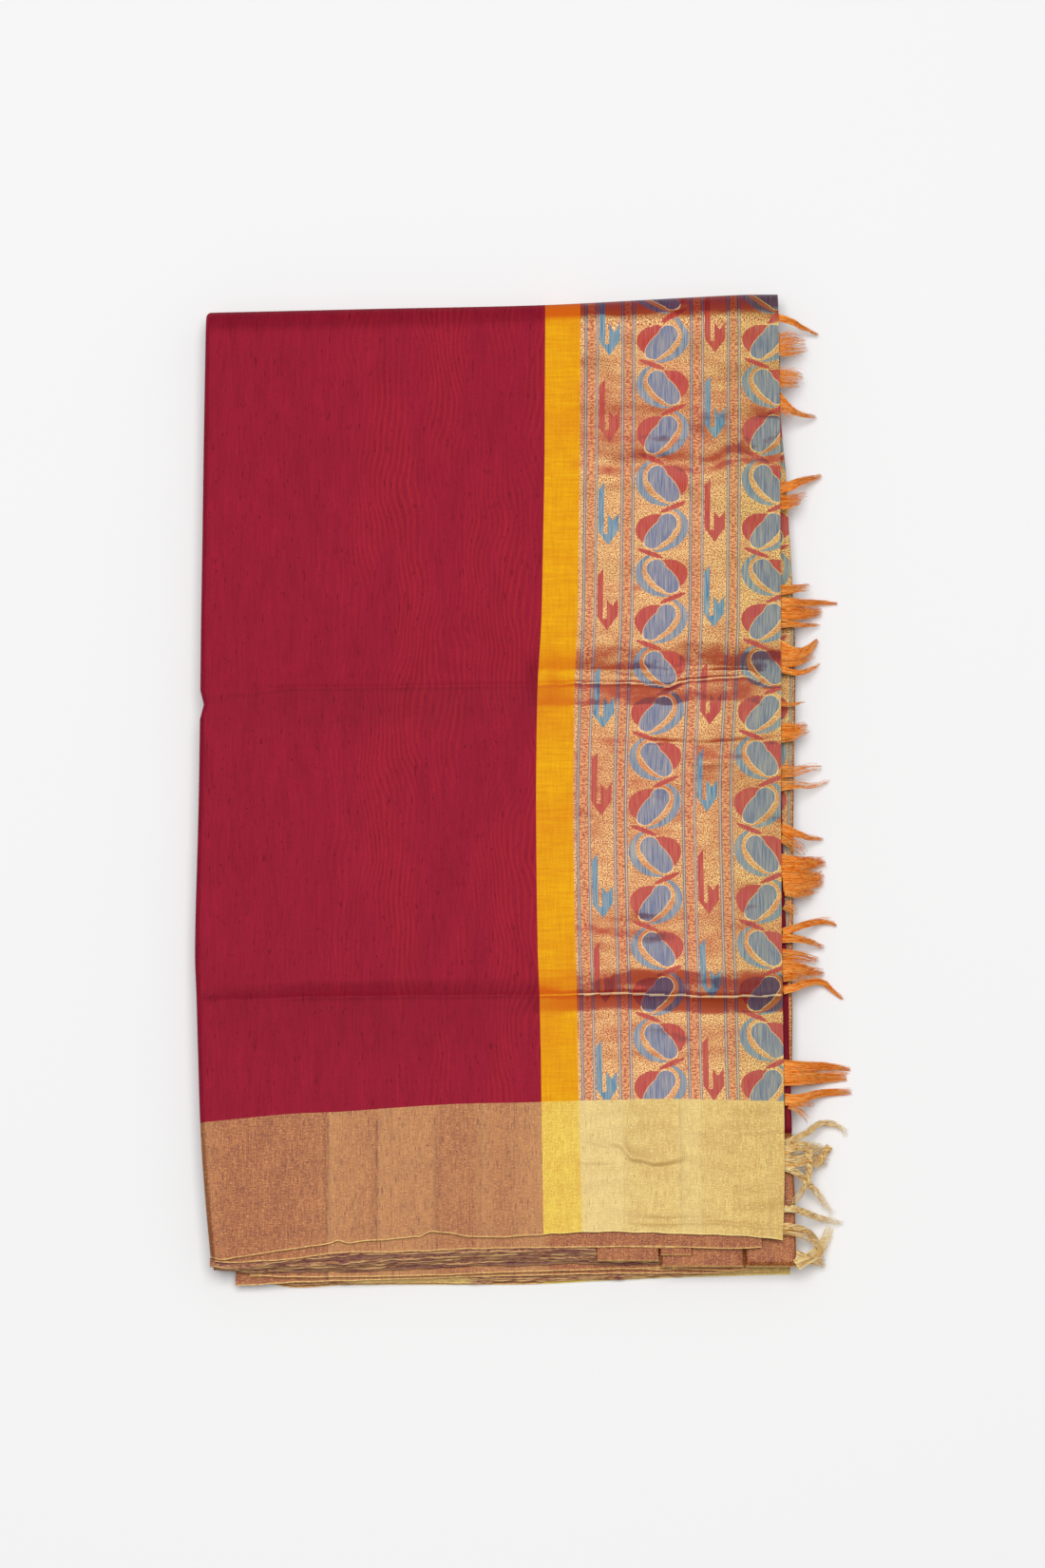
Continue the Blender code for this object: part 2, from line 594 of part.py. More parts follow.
def core_ring(layers, z, inset):
    """Closed outline of the core at one height. Between layers it follows the inner one."""
    half = (CORE_TOP - CORE_BOTTOM) / 2
    middle = (CORE_TOP + CORE_BOTTOM) / 2
    level = min(1.0, abs(z - middle) / half)
    reach = FOLD_REACH - CLOTH_WALL - SEAM_GAP - CORE_FOLD_CLEARANCE
    fold_depth = reach * math.sqrt(1.0 - level * level)

    def left_x(y):
        share = blend(1.0, CORE_INSET_FAR_SHARE, smooth((y - NEAR_END_Y) / CORE_INSET_RUN))
        layer_inset = max(layer.left_inset * MM * share for layer in layers)
        return side_x("left", y) + CORE_LEFT_INSET + layer_inset + inset

    def right_x(y):
        return min(layer.right_x * MM for layer in layers) - inset

    def front_y(x):
        return max(core_near_y(layer, x) for layer in layers) + inset

    def back_y(x):
        return far_y(x) - FOLD_REACH + fold_depth - CORE_FOLD_CLEARANCE

    points = []
    first_x = left_x(front_y(CORE_NEAR_X[0] * MM))
    last_x = right_x(front_y(CORE_NEAR_X[-1] * MM))
    for x in CORE_NEAR_X:
        x = max(first_x + CORNER_CUT, x * MM)
        points.append((x, front_y(x)))
    slant = CORNER_CUT * CORNER_SLANT
    points.append((last_x - slant, front_y(last_x - CORNER_CUT) + slant))
    for y in CORE_SIDE_Y:
        y = max(y * MM, front_y(last_x) + CORNER_CUT)
        points.append((right_x(y), y))
    for share in CORE_FAR_SHARES:
        x = blend(last_x - CORNER_CUT, first_x + CORNER_CUT, share)
        points.append((x, back_y(x)))
    for y in reversed(CORE_SIDE_Y):
        y = max(y * MM, front_y(first_x) + CORNER_CUT)
        points.append((left_x(y), y))
    return [Vector((x, y, z)) for x, y in points]


def build_core():
    """The hidden leaves as one solid, with a lip for each layer and a groove between."""
    rings = []
    for index, layer in enumerate(CORE_LAYERS):
        low = layer.low * MM
        high = layer.high * MM
        lip = CORE_LIP_SHARE * (high - low)
        if index == 0:
            rings.append(core_ring([layer], low, CORE_END_INSET))
        else:
            rings.append(core_ring([CORE_LAYERS[index - 1], layer], low, GROOVE_DEPTH))
        rings.append(core_ring([layer], low + lip, 0.0))
        rings.append(core_ring([layer], high - lip, 0.0))
    rings.append(core_ring([CORE_LAYERS[-1]], CORE_TOP, CORE_END_INSET))
    bm = bmesh.new()
    loft(bm, rings)
    finish_object("folded_core", bm, "layers")


def lock_rows(tufts):
    """Every lock of the fringe, from the near end: root place, tip place and its shape."""
    locks = []
    for root_low, root_high, reach_x, tip_low, tip_high, bow, tip_z, count, width in tufts:
        spacing = (root_high - root_low) / max(count - 1, 1)
        width = min(width * LOCK_FULLNESS, spacing * LOCK_SPACING_SHARE)
        for i in range(count):
            share = 0.5 if count == 1 else i / (count - 1)
            uneven = math.sin(LOCK_UNEVEN_RATE * i + root_low)
            reach = reach_x + LOCK_UNEVEN_REACH * uneven - (LOCK_SHORTER if i % 2 else 0.0)
            tip_height = tip_z + LOCK_UNEVEN_TIP * (1.0 + uneven)
            locks.append(Lock(blend(root_low, root_high, share), reach,
                              blend(tip_low, tip_high, share), bow, tip_height, width))
    return sorted(locks)


def lock_centres(lock):
    """Centre line of a lock: out over the side leaves, then down to just above the floor."""
    over_edge_x = LOCK_PATH[-1][0]
    root_height = LOCK_PATH[0][2]
    centres = []
    for base_x, share, height in LOCK_PATH:
        x = base_x + share * (lock.reach - over_edge_x)
        along = (x - LOCK_PATH[0][0]) / (lock.reach - LOCK_PATH[0][0])
        y = blend(lock.root_y, lock.tip_y, (along * along + along) / 2)
        y += lock.bow * math.sin(math.pi * along)
        z = lock.tip_z + height / root_height * (root_height - lock.tip_z)
        centres.append(Vector((x, y, z)) * MM)
    return centres


def build_fringe(name, tufts, strip, material):
    """A narrow strip under the end piece's edge, its outer side drawn out into locks."""
    locks = lock_rows(tufts)
    cuts = [strip[0]]
    spans = []
    for lock in locks:
        half = lock.width / 2
        spans.append((len(cuts), lock))
        cuts.append(lock.root_y - half)
        cuts.append(lock.root_y + half)
    cuts.append(strip[1])
    bm = bmesh.new()
    rings = [[Vector((STRIP_LEFT_X, y * MM, STRIP_LOW)), Vector((STRIP_RIGHT_X, y * MM, STRIP_LOW)),
              Vector((STRIP_RIGHT_X, y * MM, STRIP_HIGH)), Vector((STRIP_LEFT_X, y * MM, STRIP_HIGH))]
             for y in cuts]
    bands = loft(bm, rings)
    roots = [(bands[start][1], lock) for start, lock in spans]
    strip_middle = (STRIP_LOW + STRIP_HIGH) / 2
    for face, lock in roots:
        centres = lock_centres(lock)
        corners = [(math.copysign(1.0, vert.co.y - centres[0].y),
                    math.copysign(1.0, vert.co.z - strip_middle)) for vert in face.verts]
        for i in range(1, len(centres)):
            before = centres[i - 1]
            after = centres[min(i + 1, len(centres) - 1)]
            forward = (after - before).normalized()
            side = Vector((0.0, 0.0, 1.0)).cross(forward).normalized()
            up = forward.cross(side)
            share = blend(1.0, LOCK_TIP_SHARE, (i / (len(centres) - 1)) ** LOCK_TAPER)
            half_width = lock.width * MM / 2 * share
            half_height = min(lock.width, LOCK_HEIGHT_LIMIT) * MM / 2 * share
            face = bmesh.ops.extrude_discrete_faces(bm, faces=[face])["faces"][0]
            for vert, (across, upward) in zip(face.verts, corners):
                vert.co = centres[i] + side * across * half_width + up * upward * half_height
    finish_object(name, bm, material)


def build_fringes():
    build_fringe("fringe_orange", ORANGE_TUFTS, ORANGE_STRIP, "orange_silk")
    build_fringe("fringe_gold", GOLD_TUFTS, GOLD_STRIP, "gold_silk")


for leftover in list(bpy.data.objects):
    bpy.data.objects.remove(leftover, do_unlink=True)
sari = bpy.data.collections.new("folded_sari")
bpy.context.scene.collection.children.link(sari)

build_top_leaf()
build_under_leaf()
build_near_leaves()
build_side_leaves()
build_core()
build_fringes()
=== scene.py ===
"""Looks of a silk sari folded into a flat packet: woven cloth, creases, leaf edges and fringe."""

import math
import random
from functools import partial

import bmesh
import bpy
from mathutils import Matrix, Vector, noise


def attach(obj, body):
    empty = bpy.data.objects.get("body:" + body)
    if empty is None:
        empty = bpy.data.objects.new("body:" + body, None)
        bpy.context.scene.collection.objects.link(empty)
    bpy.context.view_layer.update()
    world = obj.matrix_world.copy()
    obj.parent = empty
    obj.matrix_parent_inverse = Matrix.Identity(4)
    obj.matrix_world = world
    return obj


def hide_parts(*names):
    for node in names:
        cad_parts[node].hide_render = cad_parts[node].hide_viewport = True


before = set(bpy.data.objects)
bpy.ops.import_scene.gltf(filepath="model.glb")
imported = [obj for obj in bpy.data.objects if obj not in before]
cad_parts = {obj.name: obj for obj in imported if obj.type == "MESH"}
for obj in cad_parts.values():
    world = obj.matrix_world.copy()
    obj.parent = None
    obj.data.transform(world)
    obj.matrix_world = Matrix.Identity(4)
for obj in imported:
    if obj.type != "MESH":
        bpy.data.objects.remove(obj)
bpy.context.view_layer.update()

# Maroon body of the top leaf. Plain-woven silk with a slubbed weft, pressed flat, with two
# creases across it from storage. It rolls round the far fold, and its left side is a fold.
MM = 0.001
TOP_HEIGHT = 22.6 * MM
FOLD_REACH = 20.0 * MM
CLOTH_THICKNESS = 0.6 * MM
LEFT_FOLD_RADIUS = 3.0 * MM
LEFT_COLUMNS = 6
PRESSED = 0.8
MOIRE_PITCH = 3.1 * MM

# Lines of the packet in millimetres: lines along Y by their X, then lines along X by their Y.
ALONG_Y = {
    "at": (-290, -250, -210, -160, -130, -100, -20, 20, 60, 100, 150, 200, 235, 300),
    "left": (-164.8, -169, -172.3, -174.6, -175.8, -177.2, -176.3, -176.1, -176.1, -176.2,
             -176.1, -176.1, -176, -175.7),
    "stripe_left": (29.3, 29, 28.4, 27.7, 27.1, 26, 25.1, 25.3, 26.1, 28.3, 29.4, 30.3,
                    30.5, 30.9),
    "stripe_right": (52.2, 51.5, 50.4, 49.5, 49.1, 48.3, 47.1, 47.5, 48.2, 50, 50.8, 51.5,
                     51.8, 52.3),
    "right": (168.4, 170.3, 170.9, 170.8, 170.7, 170.6, 170.9, 171.3, 171.8, 172.1, 172.4,
              172.8, 173, 172.6),
    "flap": (177.5, 177, 175.7, 174.9, 174.6, 173.8, 172, 171.2, 170.7, 170.5, 170.2,
             170, 169.8, 169.5),
    "inner": (173, 174, 174.6, 176.6, 177.1, 177.6, 178.9, 179.8, 181, 180.8, 178.7,
              176.2, 173.6, 171),
}
ALONG_X = {
    "at": (-176, -162, -150, -120, -90, -60, -30, -12, 20, 60, 100, 140, 172),
    "top": (-276, -284, -283.1, -278.5, -274.5, -272.5, -268.6, -271, -270.3, -267.9,
            -268.7, -270, -272.8),
    "border": (-204, -202.5, -201.3, -198.4, -197.1, -194.9, -192.9, -192.2, -191.6, -190.3,
               -189.4, -190.1, -190.9),
    "second": (-281, -285.4, -285.7, -283.9, -280.2, -279.7, -278.5, -277.8, -277.2, -276.7,
               -276.5, -277.6, -275.9),
    "third": (-288, -289, -289.4, -285, -282.3, -280.9, -280.1, -279.7, -279.1, -278.6,
              -278.5, -278.5, -278.5),
    "fourth": (-288, -289, -289.6, -287.5, -286.3, -284.2, -282.6, -281.8, -281.1, -280.6,
               -280.5, -280.5, -280.5),
    "fifth": (-288, -289.2, -289.7, -288.6, -287.8, -286, -284.2, -283.3, -282.8, -282.5,
              -282.5, -282.5, -282.5),
    "sixth": (-288.5, -289.6, -290.1, -289.5, -289, -287.6, -286.1, -285.1, -284.5, -284.5,
              -284.5, -284, -283),
    "seventh": (-289, -291, -291.6, -293.2, -293.1, -292.7, -292, -291.2, -290, -288.9,
                -287.9, -289.4, -284),
    "eighth": (-296, -297.5, -297.9, -296.2, -295.1, -294.3, -293.3, -292.7, -292, -290.9,
               -290.6, -290, -284),
    "ninth": (-293, -293, -293, -294.4, -295.4, -294.9, -294.1, -293.8, -293.2, -292.4,
              -290.6, -288, -286),
    "bottom": (-290, -290, -291, -298, -296.8, -296.4, -296.4, -296.4, -296.3, -294.4,
               -292.5, -291.3, -290.5),
}
FAR_LINE = {
    "at": (-176, -80, 31, 98, 150, 173),
    "far": (295.7, 298.1, 300.7, 304.3, 307.2, 307.4),
}

# Pressed creases and soft buckles of the top leaf, in millimetres: half widths on the far and
# the near side, then the crease's path, as places along X and Y with its height there.
CREASES = (
    (1.5, 1.1, ((-176, 49, 0.05), (-150, 55, 0.10), (-120, 58.2, 0.18), (25, 60, 0.26),
     (49, 61, 0.40), (81, 61, 0.50), (93, 60, 0.40), (104, 59, 0.55), (112, 61.5, 0.50),
     (118, 63, 0.50), (137, 64.5, 0.55), (152, 64.8, 0.5), (158, 62.5, 0.45), (164, 59.5, 0.3),
     (174, 60, 0.3))),
    (1.6, 1.6, ((46, 66, 0), (62, 66.8, 0.3), (83, 65, 0.25), (104, 65, 0.2), (118, 68, 0.45),
     (137, 68.6, 0.5), (152, 68.2, 0.45), (160, 65, 0.4), (168, 61, 0))),
    (1.2, 1.1, ((-176, -130.4, 0.10), (-123, -129.3, 0.30), (-67, -128.7, 0.28),
     (25, -128.1, 0.24), (48, -127.6, 0.45), (73, -127, 0.6), (101, -128.1, 0.6),
     (129, -129.3, 0.6), (157, -128.7, 0.5), (174, -128.1, 0.4))),
    (2.2, 2.6, ((46, 30, 0), (79, 27.9, 0.25), (98, 25.8, 0.55), (112, 25, 0.55),
     (127, 24.2, 0.5), (146, 25.5, 0.5), (174, 26.8, 0.35))),
    (5, 2.6, ((114, 14, 0), (124, 13, -0.7), (143, 14, -0.6), (152, 14, 0))),
    (5.5, 3, ((46, 200, 0.2), (78, 196, 0.6), (103, 199, 0.35), (127, 195.3, 0.6),
     (143, 201.3, 0.6), (174, 203.7, 0.5))),
    (6, 5, ((40, 224, 0.1), (80, 228, 0.4), (120, 231, 0.3), (174, 226, 0.5))),
    (7, 4, ((44, 118, 0.1), (70, 122, 0.4), (110, 125, 0.5), (174, 117, 0.4))),
    (6, 5, ((44, -84, 0.1), (80, -86, 0.45), (120, -90, 0.4), (174, -84, 0.5))),
    (5, 5, ((50, -22, 0.2), (90, -26, 0.5), (130, -20, 0.3), (174, -24, 0.4))),
    (1.8, 2.2, ((-176, 283, 0.10), (-40, 283.3, 0.12), (31, 289, 0.15), (55, 289, 0.35),
     (127, 289, 0.40), (161, 290, 0.45), (174, 291, 0.4))),
    (5, 1.3, ((61, -212, 0), (73, -216.5, 0.6), (82, -225, 0.9), (96, -227.5, 0.9),
     (108, -225.6, 0.55), (115, -224, 0))),
    (0.9, 0.9, ((50, -212, 0), (56, -214.5, 0.3), (66, -217, 0.3), (71, -218, 0))),
    (1, 5, ((46, -229.5, 0), (51, -229, -0.35), (72, -229, -0.35), (77, -229, 0))),
    (0.9, 1.2, ((105, -211.5, 0), (112, -211, 0.22), (140, -210, 0.18), (174, -208, 0.2))),
    (1.2, 1.2, ((66, -261, 0), (92, -263, 0.3), (130, -262.5, 0.35), (160, -265, 0.3),
     (174, -266, 0.2))),
    (0.9, 1, ((80, -257, 0), (100, -258.5, 0.25), (126, -258, 0.2), (140, -259, 0))),
)
# The two long creases, over the body and then over the end piece, in millimetres: half widths
# on the far and the near side, half width of the level top, how the sides run up to
# it (under 1 they round over at the top, above 1 they pinch), then the path as before.
FOLDS = (
    (60, 27, 0, 1.45, ((-176, 54, 0.8), (-150, 57, 1.2), (-120, 58.2, 1.8),
     (-20, 58.6, 2.1), (27, 58.8, 1.6), (44, 59, 0))),
    (11, 45, 0, 1.7, ((-176, -132, 0.9), (-150, -131.2, 1.8), (-95, -129, 2.5),
     (-50, -128.4, 2.3), (0, -127.8, 1.6), (27, -127.8, 1.3), (46, -127.8, 0))),
    (15.5, 13, 4.2, 0.35, ((18, 64.6, 0), (27, 64.6, 1.4), (49, 64.8, 2), (60, 65, 2.2),
     (82, 65, 2.3), (93, 65.4, 2.2), (104, 65, 2.2), (118, 67.6, 2.3), (137, 67.8, 2.3),
     (152, 66.8, 2.1), (162, 63.5, 1.7), (174, 62.5, 1.3))),
    (16, 10, 0.3, 1.2, ((18, -127.8, 0), (27, -127.8, 1.2), (48, -127.6, 2),
     (73, -127, 2.7), (101, -128.1, 3.1), (129, -129.3, 3.1), (157, -128.7, 2.8),
     (174, -128.1, 2.2))),
)
# Pressed marks in the border, in millimetres: place along X, slant, half width, height.
BORDER_MARKS = (
    (-122.0, 0.05, 1.3, 0.10), (-97.5, -0.02, 1.1, 0.26), (-68.6, 0.03, 1.2, 0.20),
    (-33.2, 0.02, 1.2, 0.26), (-7.4, -0.03, 1.1, 0.16), (9.0, 0.02, 1.4, 0.14),
    (76.5, 0.02, 1.5, 0.14), (92.0, -0.10, 2.2, -0.16), (109.6, 0.0, 1.3, 0.20),
    (122.4, 0.0, 1.4, 0.14), (141.0, 0.06, 2.4, -0.16), (161.0, 0.0, 1.6, 0.18),
)


def on_line(lines, name, at):
    """Place on one of the packet's lines, in metres, smooth between the table's places."""
    keys = lines["at"]
    values = lines[name]
    at = min(max(at / MM, keys[0]), keys[-1])
    low = 0
    while low < len(keys) - 2 and at > keys[low + 1]:
        low += 1
    span = keys[low + 1] - keys[low]
    step = (at - keys[low]) / span

    def slope(i):
        before = max(i - 1, 0)
        after = min(i + 1, len(keys) - 1)
        return (values[after] - values[before]) / (keys[after] - keys[before])

    return MM * (values[low] * (1 + 2 * step) * (1 - step) ** 2
                 + slope(low) * span * step * (1 - step) ** 2
                 + values[low + 1] * step * step * (3 - 2 * step)
                 + slope(low + 1) * span * step * step * (step - 1))


def ease(share):
    share = min(max(share, 0.0), 1.0)
    return share * share * (3 - 2 * share)


def between(a, b, share):
    return a + (b - a) * share


def along_path(path, x_mm):
    """Place along Y and height of a crease's path, in millimetres, at a place along X."""
    for (x0, y0, h0), (x1, y1, h1) in zip(path, path[1:]):
        if x_mm <= x1:
            share = ease((x_mm - x0) / (x1 - x0))
            return between(y0, y1, share), between(h0, h1, share)
    return path[-1][1], path[-1][2]


def cloth_height(x, y):
    """Height of the top leaf over its plain level, from creases, pressed marks and waves."""
    x_mm = x / MM
    y_mm = y / MM
    on_brocade = ease((x_mm - 20.0) / 40.0)
    rise = 0.0
    wander = 0.7 * noise.noise(Vector((x_mm / 9.0, 0.0, 3.0)))
    for far_width, near_width, path in CREASES:
        if x_mm < path[0][0] or abs(y_mm - path[0][1]) > 60.0:
            continue
        crease_y, height = along_path(path, x_mm)
        away = y_mm - crease_y - wander
        away /= far_width if away > 0.0 else near_width
        if abs(away) < 3.0:
            uneven = 1.0 + 0.35 * noise.noise(Vector((x_mm / 12.0, crease_y / 50.0, far_width)))
            rise += height * uneven * math.exp(-abs(away) ** 1.7)
    for far_width, near_width, level_half, pinch, path in FOLDS:
        if x_mm < path[0][0]:
            continue
        crease_y, height = along_path(path, x_mm)
        on_far_side = y_mm - crease_y - wander > 0.0
        away = abs(y_mm - crease_y - wander) - level_half
        up = min(1.0, 1.0 - away / (far_width if on_far_side else near_width))
        if up > 0.0:
            if pinch > 1.0:
                up = up ** pinch
            elif on_far_side:
                up = up ** 1.35
            else:
                up = between(up, math.sin(up * math.pi / 2), pinch)
            rise += height * up
    in_border = 1.0 - ease((y_mm + 205.0) / 22.0)
    if in_border > 0.0:
        for mark_x, slant, half_width, height in BORDER_MARKS:
            away = (x_mm - mark_x - slant * (y_mm + 230.0)) / half_width
            if abs(away) < 3.5:
                rise += in_border * height * math.exp(-abs(away) ** 1.6)
    rise += 0.22 * math.sin(x_mm / 31.0 + 0.8) * math.sin(y_mm / 47.0 + 0.4)
    rise += 0.16 * math.sin(x_mm / 19.0 - y_mm / 37.0)
    rise += 0.75 * on_brocade * noise.noise(Vector((x_mm / 38.0, y_mm / 15.0, 0.0)))
    rise += 0.12 * noise.noise(Vector((x_mm / 13.0, y_mm / 9.0, 5.0)))
    at_edge = 1.0 - ease((y_mm + 284.0) / 34.0)
    return (rise * (1.0 - 0.4 * at_edge) - 0.5 * at_edge) * MM


stripe_left = partial(on_line, ALONG_Y, "stripe_left")
stripe_right = partial(on_line, ALONG_Y, "stripe_right")
right_side = partial(on_line, ALONG_Y, "right")
border_line = partial(on_line, ALONG_X, "border")


def roll_start(x):
    """Place along Y where the leaf starts to roll over the far fold."""
    return on_line(FAR_LINE, "far", x) - FOLD_REACH


def left_fold(y):
    """Left side of the top leaf where its fold starts to turn, drawn in a little at the notch
    that the upper crease leaves in the fold."""
    notch = 2.3 * MM * max(0.0, 1.0 - abs(y / MM - 49.0) / 9.0)
    return on_line(ALONG_Y, "left", y) + LEFT_FOLD_RADIUS + notch


def settle(column, columns, share, near_at, far_at, left_at, right_at):
    """Place of a grid point between the four sides of a stretch. The sides lean, so X and Y
    are found in turns. Columns under 0 go down round the left fold. Gives X, Y, the near
    side's Y and the drop."""
    x = 0.05
    drop = 0.0
    for _ in range(3):
        near = near_at(x)
        y = between(near, far_at(x), share)
        if column < 0:
            turn = -column / LEFT_COLUMNS * math.pi / 2
            x = left_at(y) - LEFT_FOLD_RADIUS * math.sin(turn)
            drop = LEFT_FOLD_RADIUS * (1.0 - math.cos(turn))
        else:
            x = between(left_at(y), right_at(y), column / columns)
    return x, y, near, drop


def top_point(x, y, turn, drop):
    """Point of the top leaf's outer face. turn runs from 0 to pi round the far fold, which is
    pressed, so that its section is fuller than an ellipse."""
    half = TOP_HEIGHT / 2
    level = math.cos(turn)
    reach = max(0.0, math.sin(turn))
    if turn > 0.0:
        y = roll_start(x) + FOLD_REACH * reach ** PRESSED
        level = math.copysign(abs(level) ** PRESSED, level)
    lift = cloth_height(x, y) * max(0.0, level) ** 2
    normal = Vector((0.0, reach / FOLD_REACH, level / half)).normalized()
    return Vector((x, y, half + half * level)) + normal * (lift - drop)


def add_object(bm, name):
    """A new object of the scene with the mesh that was shaped."""
    mesh = bpy.data.meshes.new(name)
    bm.to_mesh(mesh)
    bm.free()
    made = bpy.data.objects.new(name, mesh)
    bpy.context.scene.collection.objects.link(made)
    return made


def woven_sheet(name, columns, rows, place, thickness=CLOTH_THICKNESS):
    """A sheet of cloth from a grid. place(column, row) gives a point of its outer face and
    that point's place in the weave, in metres across and along, which is kept as its UV. How
    far each point leans from flat is kept too, for the materials to paint shade where the
    cloth tilts, and so is each sharp crest, where a highlight is painted."""
    bm = bmesh.new()
    weave = bm.loops.layers.uv.new("weave")
    lean = bm.verts.layers.float.new("lean")
    crest = bm.verts.layers.float.new("crest")
    bmesh.ops.create_grid(bm, x_segments=columns, y_segments=rows, size=0.5)
    in_weave = {}
    for vert in bm.verts:
        column = round((vert.co.x + 0.5) * columns)
        row = round((vert.co.y + 0.5) * rows)
        vert.co, in_weave[vert] = place(column, row)
    bm.normal_update()
    for vert in bm.verts:
        vert[lean] = math.acos(min(1.0, abs(vert.normal.z))) / (math.pi / 2)
        around = [edge.other_vert(vert).co.z for edge in vert.link_edges]
        over = (vert.co.z - sum(around) / len(around)) / MM
        vert[crest] = ease((over - 0.025) / 0.05) if len(around) == 4 else 0.0
    for edge in bm.edges:
        edge.smooth = not edge.is_boundary
    for face in bm.faces:
        face.smooth = True
        for loop in face.loops:
            loop[weave].uv = in_weave[loop.vert]
    sheet = add_object(bm, name)
    wall = sheet.modifiers.new("cloth thickness", "SOLIDIFY")
    wall.thickness = thickness
    wall.offset = -1.0
    return sheet


# The weave is not quite even along the leaf: places along Y, with how far the pattern has
# slid there. It also leans a little across the leaf.
WEAVE_DRIFT = {
    "at": (-166, -132, -98, -63, -29, 6, 40, 76, 111, 146, 182, 217, 253, 300),
    "slid": (-1.3, -1.6, -3.1, -3.4, -2.0, -1.0, -1.5, -2.0, -1.6, -2.0, -1.3, 2.1, 3.3, 3.4),
}

# Rows along Y in millimetres, closer together at the creases, then turns round the fold.
ROWS_NEAR = -192.0
ROWS_FAR = 287.0
leaf_rows = [0.0]
row_y = ROWS_NEAR + 0.1
while row_y < ROWS_FAR:
    leaf_rows.append((row_y - ROWS_NEAR) / (ROWS_FAR - ROWS_NEAR))
    at_crease = 45.0 < row_y < 90.0 or -142.0 < row_y < -108.0 or 21.0 < row_y < 31.0
    row_y += 0.85 if at_crease else 2.1
leaf_rows.append(1.0)
fold_turns = [math.pi * (i + 1) / 26 for i in range(26)]


def top_stretch(name, left_at, right_at, columns, left_columns=0):
    """One woven stretch of the top leaf, from the border line to the end of the far fold."""

    def place(column, row):
        turn = fold_turns[row - len(leaf_rows)] if row >= len(leaf_rows) else 0.0
        x, y, start, drop = settle(column - left_columns, columns,
                                   leaf_rows[min(row, len(leaf_rows) - 1)],
                                   border_line, roll_start, left_at, right_at)
        arc = turn * (FOLD_REACH + TOP_HEIGHT / 2) / 2
        # The columns spread a little towards the near side, and the rows lean.
        across = x - stripe_right(y)
        across += 0.018 * (across + 0.039) * ease((0.060 - y) / 0.060)
        slid = on_line(WEAVE_DRIFT, "slid", y) + 0.028 * (x - 0.111)
        return top_point(x, y, turn, drop), (across, y - start + arc - slid)

    rows = len(leaf_rows) + len(fold_turns) - 1
    return woven_sheet(name, columns + left_columns, rows, place)


def dress(piece, cloth, stands_for):
    """Give a piece its cloth, attach it to the root, and hide the part of the model that it stands
    for.
    """
    piece.data.materials.append(cloth)
    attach(piece, "root")
    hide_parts(stands_for)


def srgb(code):
    """Linear colour of an sRGB hex value."""
    channels = [int(code[i:i + 2], 16) / 255 for i in (1, 3, 5)]
    return tuple(c / 12.92 if c < 0.04045 else ((c + 0.055) / 1.055) ** 2.4
                 for c in channels) + (1.0,)


def fill(made, inputs):
    """Fill a node's inputs, by name or place, with values, sRGB codes or other outputs."""
    for key, value in inputs.items():
        socket = made.inputs[key]
        if isinstance(value, bpy.types.NodeSocket):
            made.id_data.links.new(value, socket)
        else:
            socket.default_value = srgb(value) if isinstance(value, str) else value


def node(tree, kind, *inputs, out=None, **named):
    """Add a shader node and give its output. Inputs are filled in order, or by a name with a
    capital. Other names are settings. A kind all in capitals is a Math node's operation, and a
    Mix is of colours."""
    if kind.isupper():
        kind, named["operation"] = "Math", kind
    elif kind == "Mix":
        named["data_type"] = "RGBA"
    made = tree.nodes.new("ShaderNode" + kind)
    for name in [name for name in named if name.islower()]:
        setattr(made, name, named.pop(name))
    in_use = [place for place, socket in enumerate(made.inputs) if socket.enabled]
    fill(made, {**dict(zip(in_use, inputs)), **named})
    return made.outputs[out] if out else next(end for end in made.outputs if end.enabled)


def new_cloth(name):
    """A new material, its shader, node() for its tree, and the place on the piece."""
    material = bpy.data.materials.new(name)
    material.use_nodes = True
    add = partial(node, material.node_tree)
    shader = material.node_tree.nodes["Principled BSDF"]
    return material, shader, add, add("TexCoord", out="Object")


# Handloom silk, plain weave, dyed maroon: a soft low sheen, fine weft slubs that run along Y,
# a few thick slubs, and the faint wavy moire that two fine layers make. Each pattern has its
# size in millimetres, its offset, detail and roughness.
maroon_silk, shader, add, place = new_cloth("maroon handloom silk")
grain = {}
for name, sizes, start, detail, roughness in (
        ("slub", (0.8, 16.0, 16.0), (0.0, 0.0), 3.0, 0.6),
        ("thread", (0.7, 0.9, 1.0), (0.0, 0.0), 2.0, 0.5),
        ("thick slub", (1.4, 7.0, 8.0), (0.0, 0.0), 1.0, 0.5),
        ("fleck", (2.6, 3.4, 8.0), (4.0, 9.0), 1.0, 0.5),
        ("broad", (26.0, 110.0, 90.0), (0.0, 0.0), 2.0, 0.5),
        ("cloudy", (9.0, 30.0, 30.0), (0.0, 0.0), 3.0, 0.5),
        ("drape", (60.0, 75.0, 1000.0), (0.0, 0.0), 1.5, 0.5)):
    at = add("Mapping", place, Location=(*start, 0.0), Scale=[1 / (mm * MM) for mm in sizes])
    grain[name] = add("TexNoise", at, Scale=1.0, Detail=detail, Roughness=roughness)
where = add("SeparateXYZ", place).node.outputs
moire = add("MULTIPLY", where["X"], 2 * math.pi / MOIRE_PITCH)
moire = add("SINE", add("MULTIPLY_ADD", grain["drape"], 75.0, moire))
moire = add("MapRange", moire, -0.3, 1.0)
moire_share = add("MapRange", where["X"], -0.120, -0.065, interpolation_type="SMOOTHSTEP")
for share in (add("MapRange", grain["broad"], 0.40, 0.60), moire, 0.32):
    moire_share = add("MULTIPLY", moire_share, share)
weft = add("MULTIPLY_ADD", grain["cloudy"], 0.5, grain["slub"])
